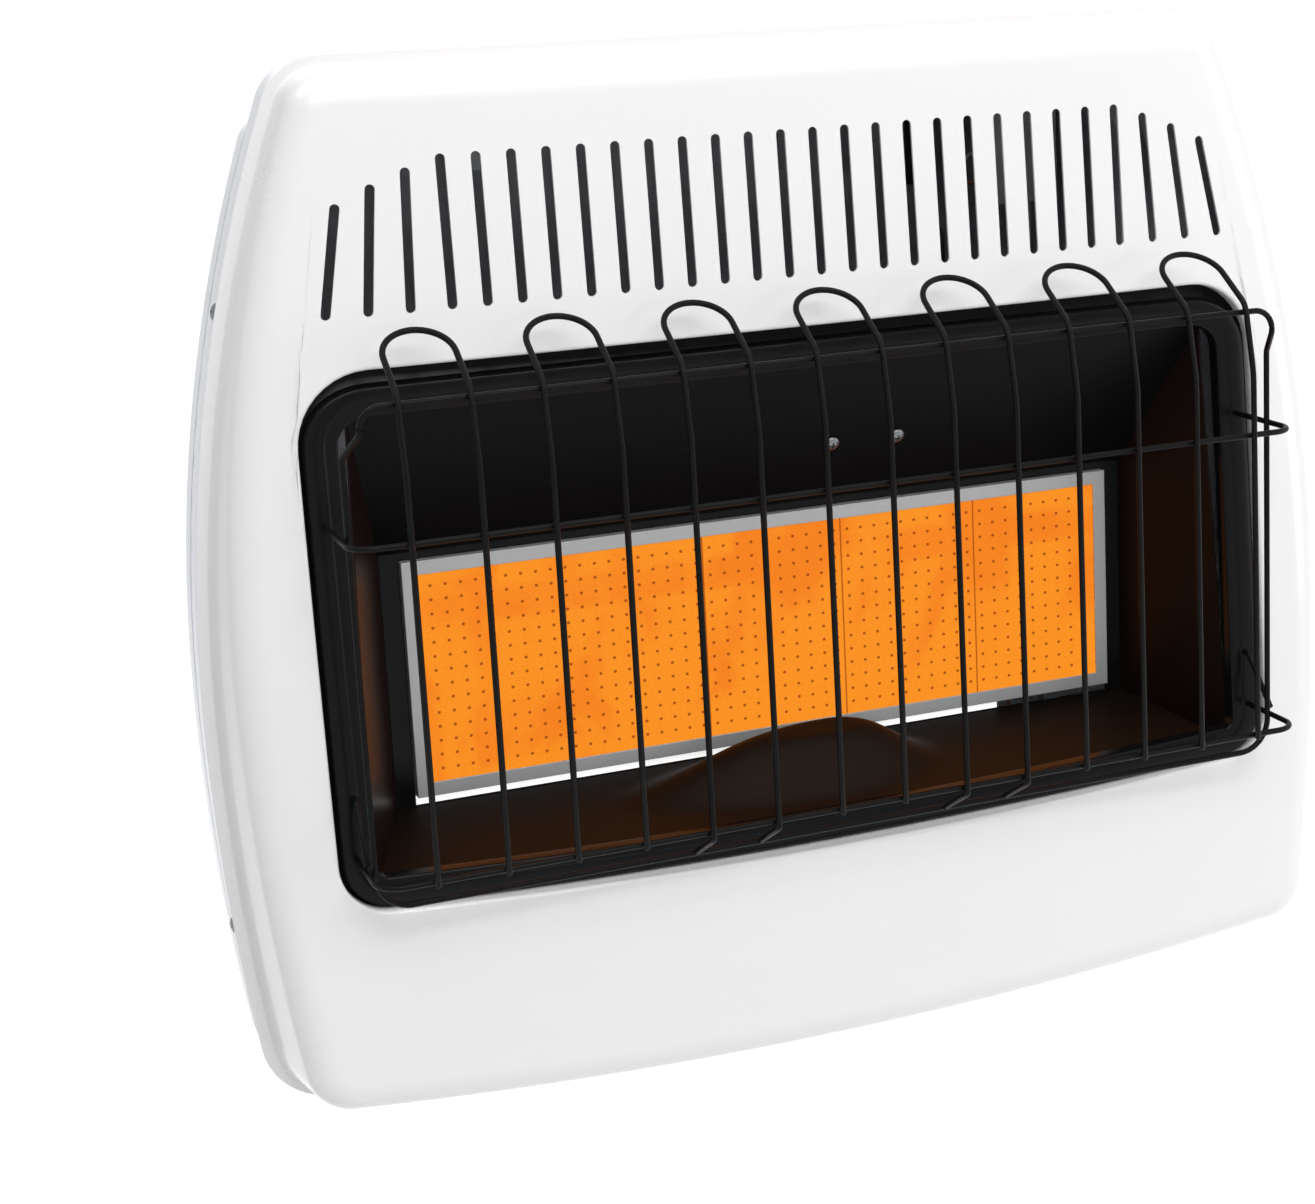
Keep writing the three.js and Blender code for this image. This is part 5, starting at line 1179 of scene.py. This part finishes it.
def dial_number(number):
    """The numbers 1 to 5 stand outside the last five long marks and read from the front."""
    turn = -math.pi / 2 + math.radians(40 * number + 40)
    deselect()
    bpy.ops.object.text_add()
    text = bpy.context.object.data
    text.body = str(number)
    text.size = 0.0068
    text.extrude = 0.00008
    text.align_x = "CENTER"
    text.align_y = "CENTER"
    bpy.ops.object.convert(target="MESH")
    piece = bpy.context.object
    reach = 0.0285
    piece.data.transform(Matrix.Translation((reach * math.cos(turn), reach * math.sin(turn), 0)))
    return piece


def dial_marks():
    marks = [dial_mark(step) for step in range(13)] + [dial_number(number) for number in range(1, 6)]
    piece = marks[0]
    chosen(piece)
    for mark in marks:
        mark.select_set(True)
    bpy.ops.object.join()
    piece.name = "dial_marks"
    placed(piece, at(VALVE_X, CONTROL_OUT, BOX_TOP + GAP + DIAL_THICKNESS + 0.05))
    dress(piece, KNOB_BLACK)


dial_disc()
dial_marks()


def igniter_cap():
    profile = [
        (7.0, -27.0), (7.0, -0.2), (8.4, 0.0), (8.8, 0.5), (8.8, 2.8), (8.4, 3.9), (7.4, 4.7), (5.8, 5.0),
        (4.0, 4.7), (1.5, 4.4),
    ]
    piece = turned("igniter_cap", profile, 40)
    placed(piece, at(IGNITER_X, CONTROL_OUT, CAP_BOTTOM))
    smooth(piece, 40)
    dress(piece, BUTTON_RED, "igniter_button", "igniter_button")


igniter_cap()

# ---------------------------------------------------------------- floor and world


def shown(tree, path):
    """Is 1 for rays that show the background: the camera's, a reflection's or one through glass."""
    seen = path.outputs["Is Camera Ray"]
    for kind in ("Is Glossy Ray", "Is Transmission Ray"):
        larger = tree.nodes.new("ShaderNodeMath")
        larger.operation = "MAXIMUM"
        tree.links.new(seen, larger.inputs[0])
        tree.links.new(path.outputs[kind], larger.inputs[1])
        seen = larger.outputs[0]
    return seen


def pale_floor():
    """A pale floor that keeps the heater's shadow and shows white."""
    deselect()
    bpy.ops.mesh.primitive_plane_add(size=30, location=(0, 0, FLOOR_LEVEL))
    floor = bpy.context.object
    floor.name = "floor"
    settle(floor)
    made = Finish("pale_floor", roughness=0.8)
    cloud = made.noise(0.8, 3)
    made.set(base_color=made.blend(cloud, (0.80, 0.80, 0.80), (0.84, 0.84, 0.84)))
    tree = made.tree
    output = next(node for node in tree.nodes if node.type == "OUTPUT_MATERIAL")
    path = tree.nodes.new("ShaderNodeLightPath")
    glow = tree.nodes.new("ShaderNodeEmission")
    glow.inputs["Color"].default_value = (1, 1, 1, 1)
    glow.inputs["Strength"].default_value = 0.72
    both = tree.nodes.new("ShaderNodeAddShader")
    mix = tree.nodes.new("ShaderNodeMixShader")
    tree.links.new(made.shader.outputs[0], both.inputs[0])
    tree.links.new(glow.outputs[0], both.inputs[1])
    tree.links.new(shown(tree, path), mix.inputs[0])
    tree.links.new(made.shader.outputs[0], mix.inputs[1])
    tree.links.new(both.outputs[0], mix.inputs[2])
    tree.links.new(mix.outputs[0], output.inputs[0])
    floor.data.materials.append(made.material)


def studio():
    """Soft light on the heater, and plain white where the background is seen."""
    world = bpy.data.worlds.new("studio")
    bpy.context.scene.world = world
    world.use_nodes = True
    tree = world.node_tree
    tree.nodes.clear()
    path = tree.nodes.new("ShaderNodeLightPath")
    soft = tree.nodes.new("ShaderNodeBackground")
    soft.inputs["Color"].default_value = (0.93, 0.96, 1.0, 1)
    soft.inputs["Strength"].default_value = 0.38
    white = tree.nodes.new("ShaderNodeBackground")
    white.inputs["Color"].default_value = (1, 1, 1, 1)
    mix = tree.nodes.new("ShaderNodeMixShader")
    output = tree.nodes.new("ShaderNodeOutputWorld")
    tree.links.new(shown(tree, path), mix.inputs[0])
    tree.links.new(soft.outputs[0], mix.inputs[1])
    tree.links.new(white.outputs[0], mix.inputs[2])
    tree.links.new(mix.outputs[0], output.inputs[0])


pale_floor()
studio()
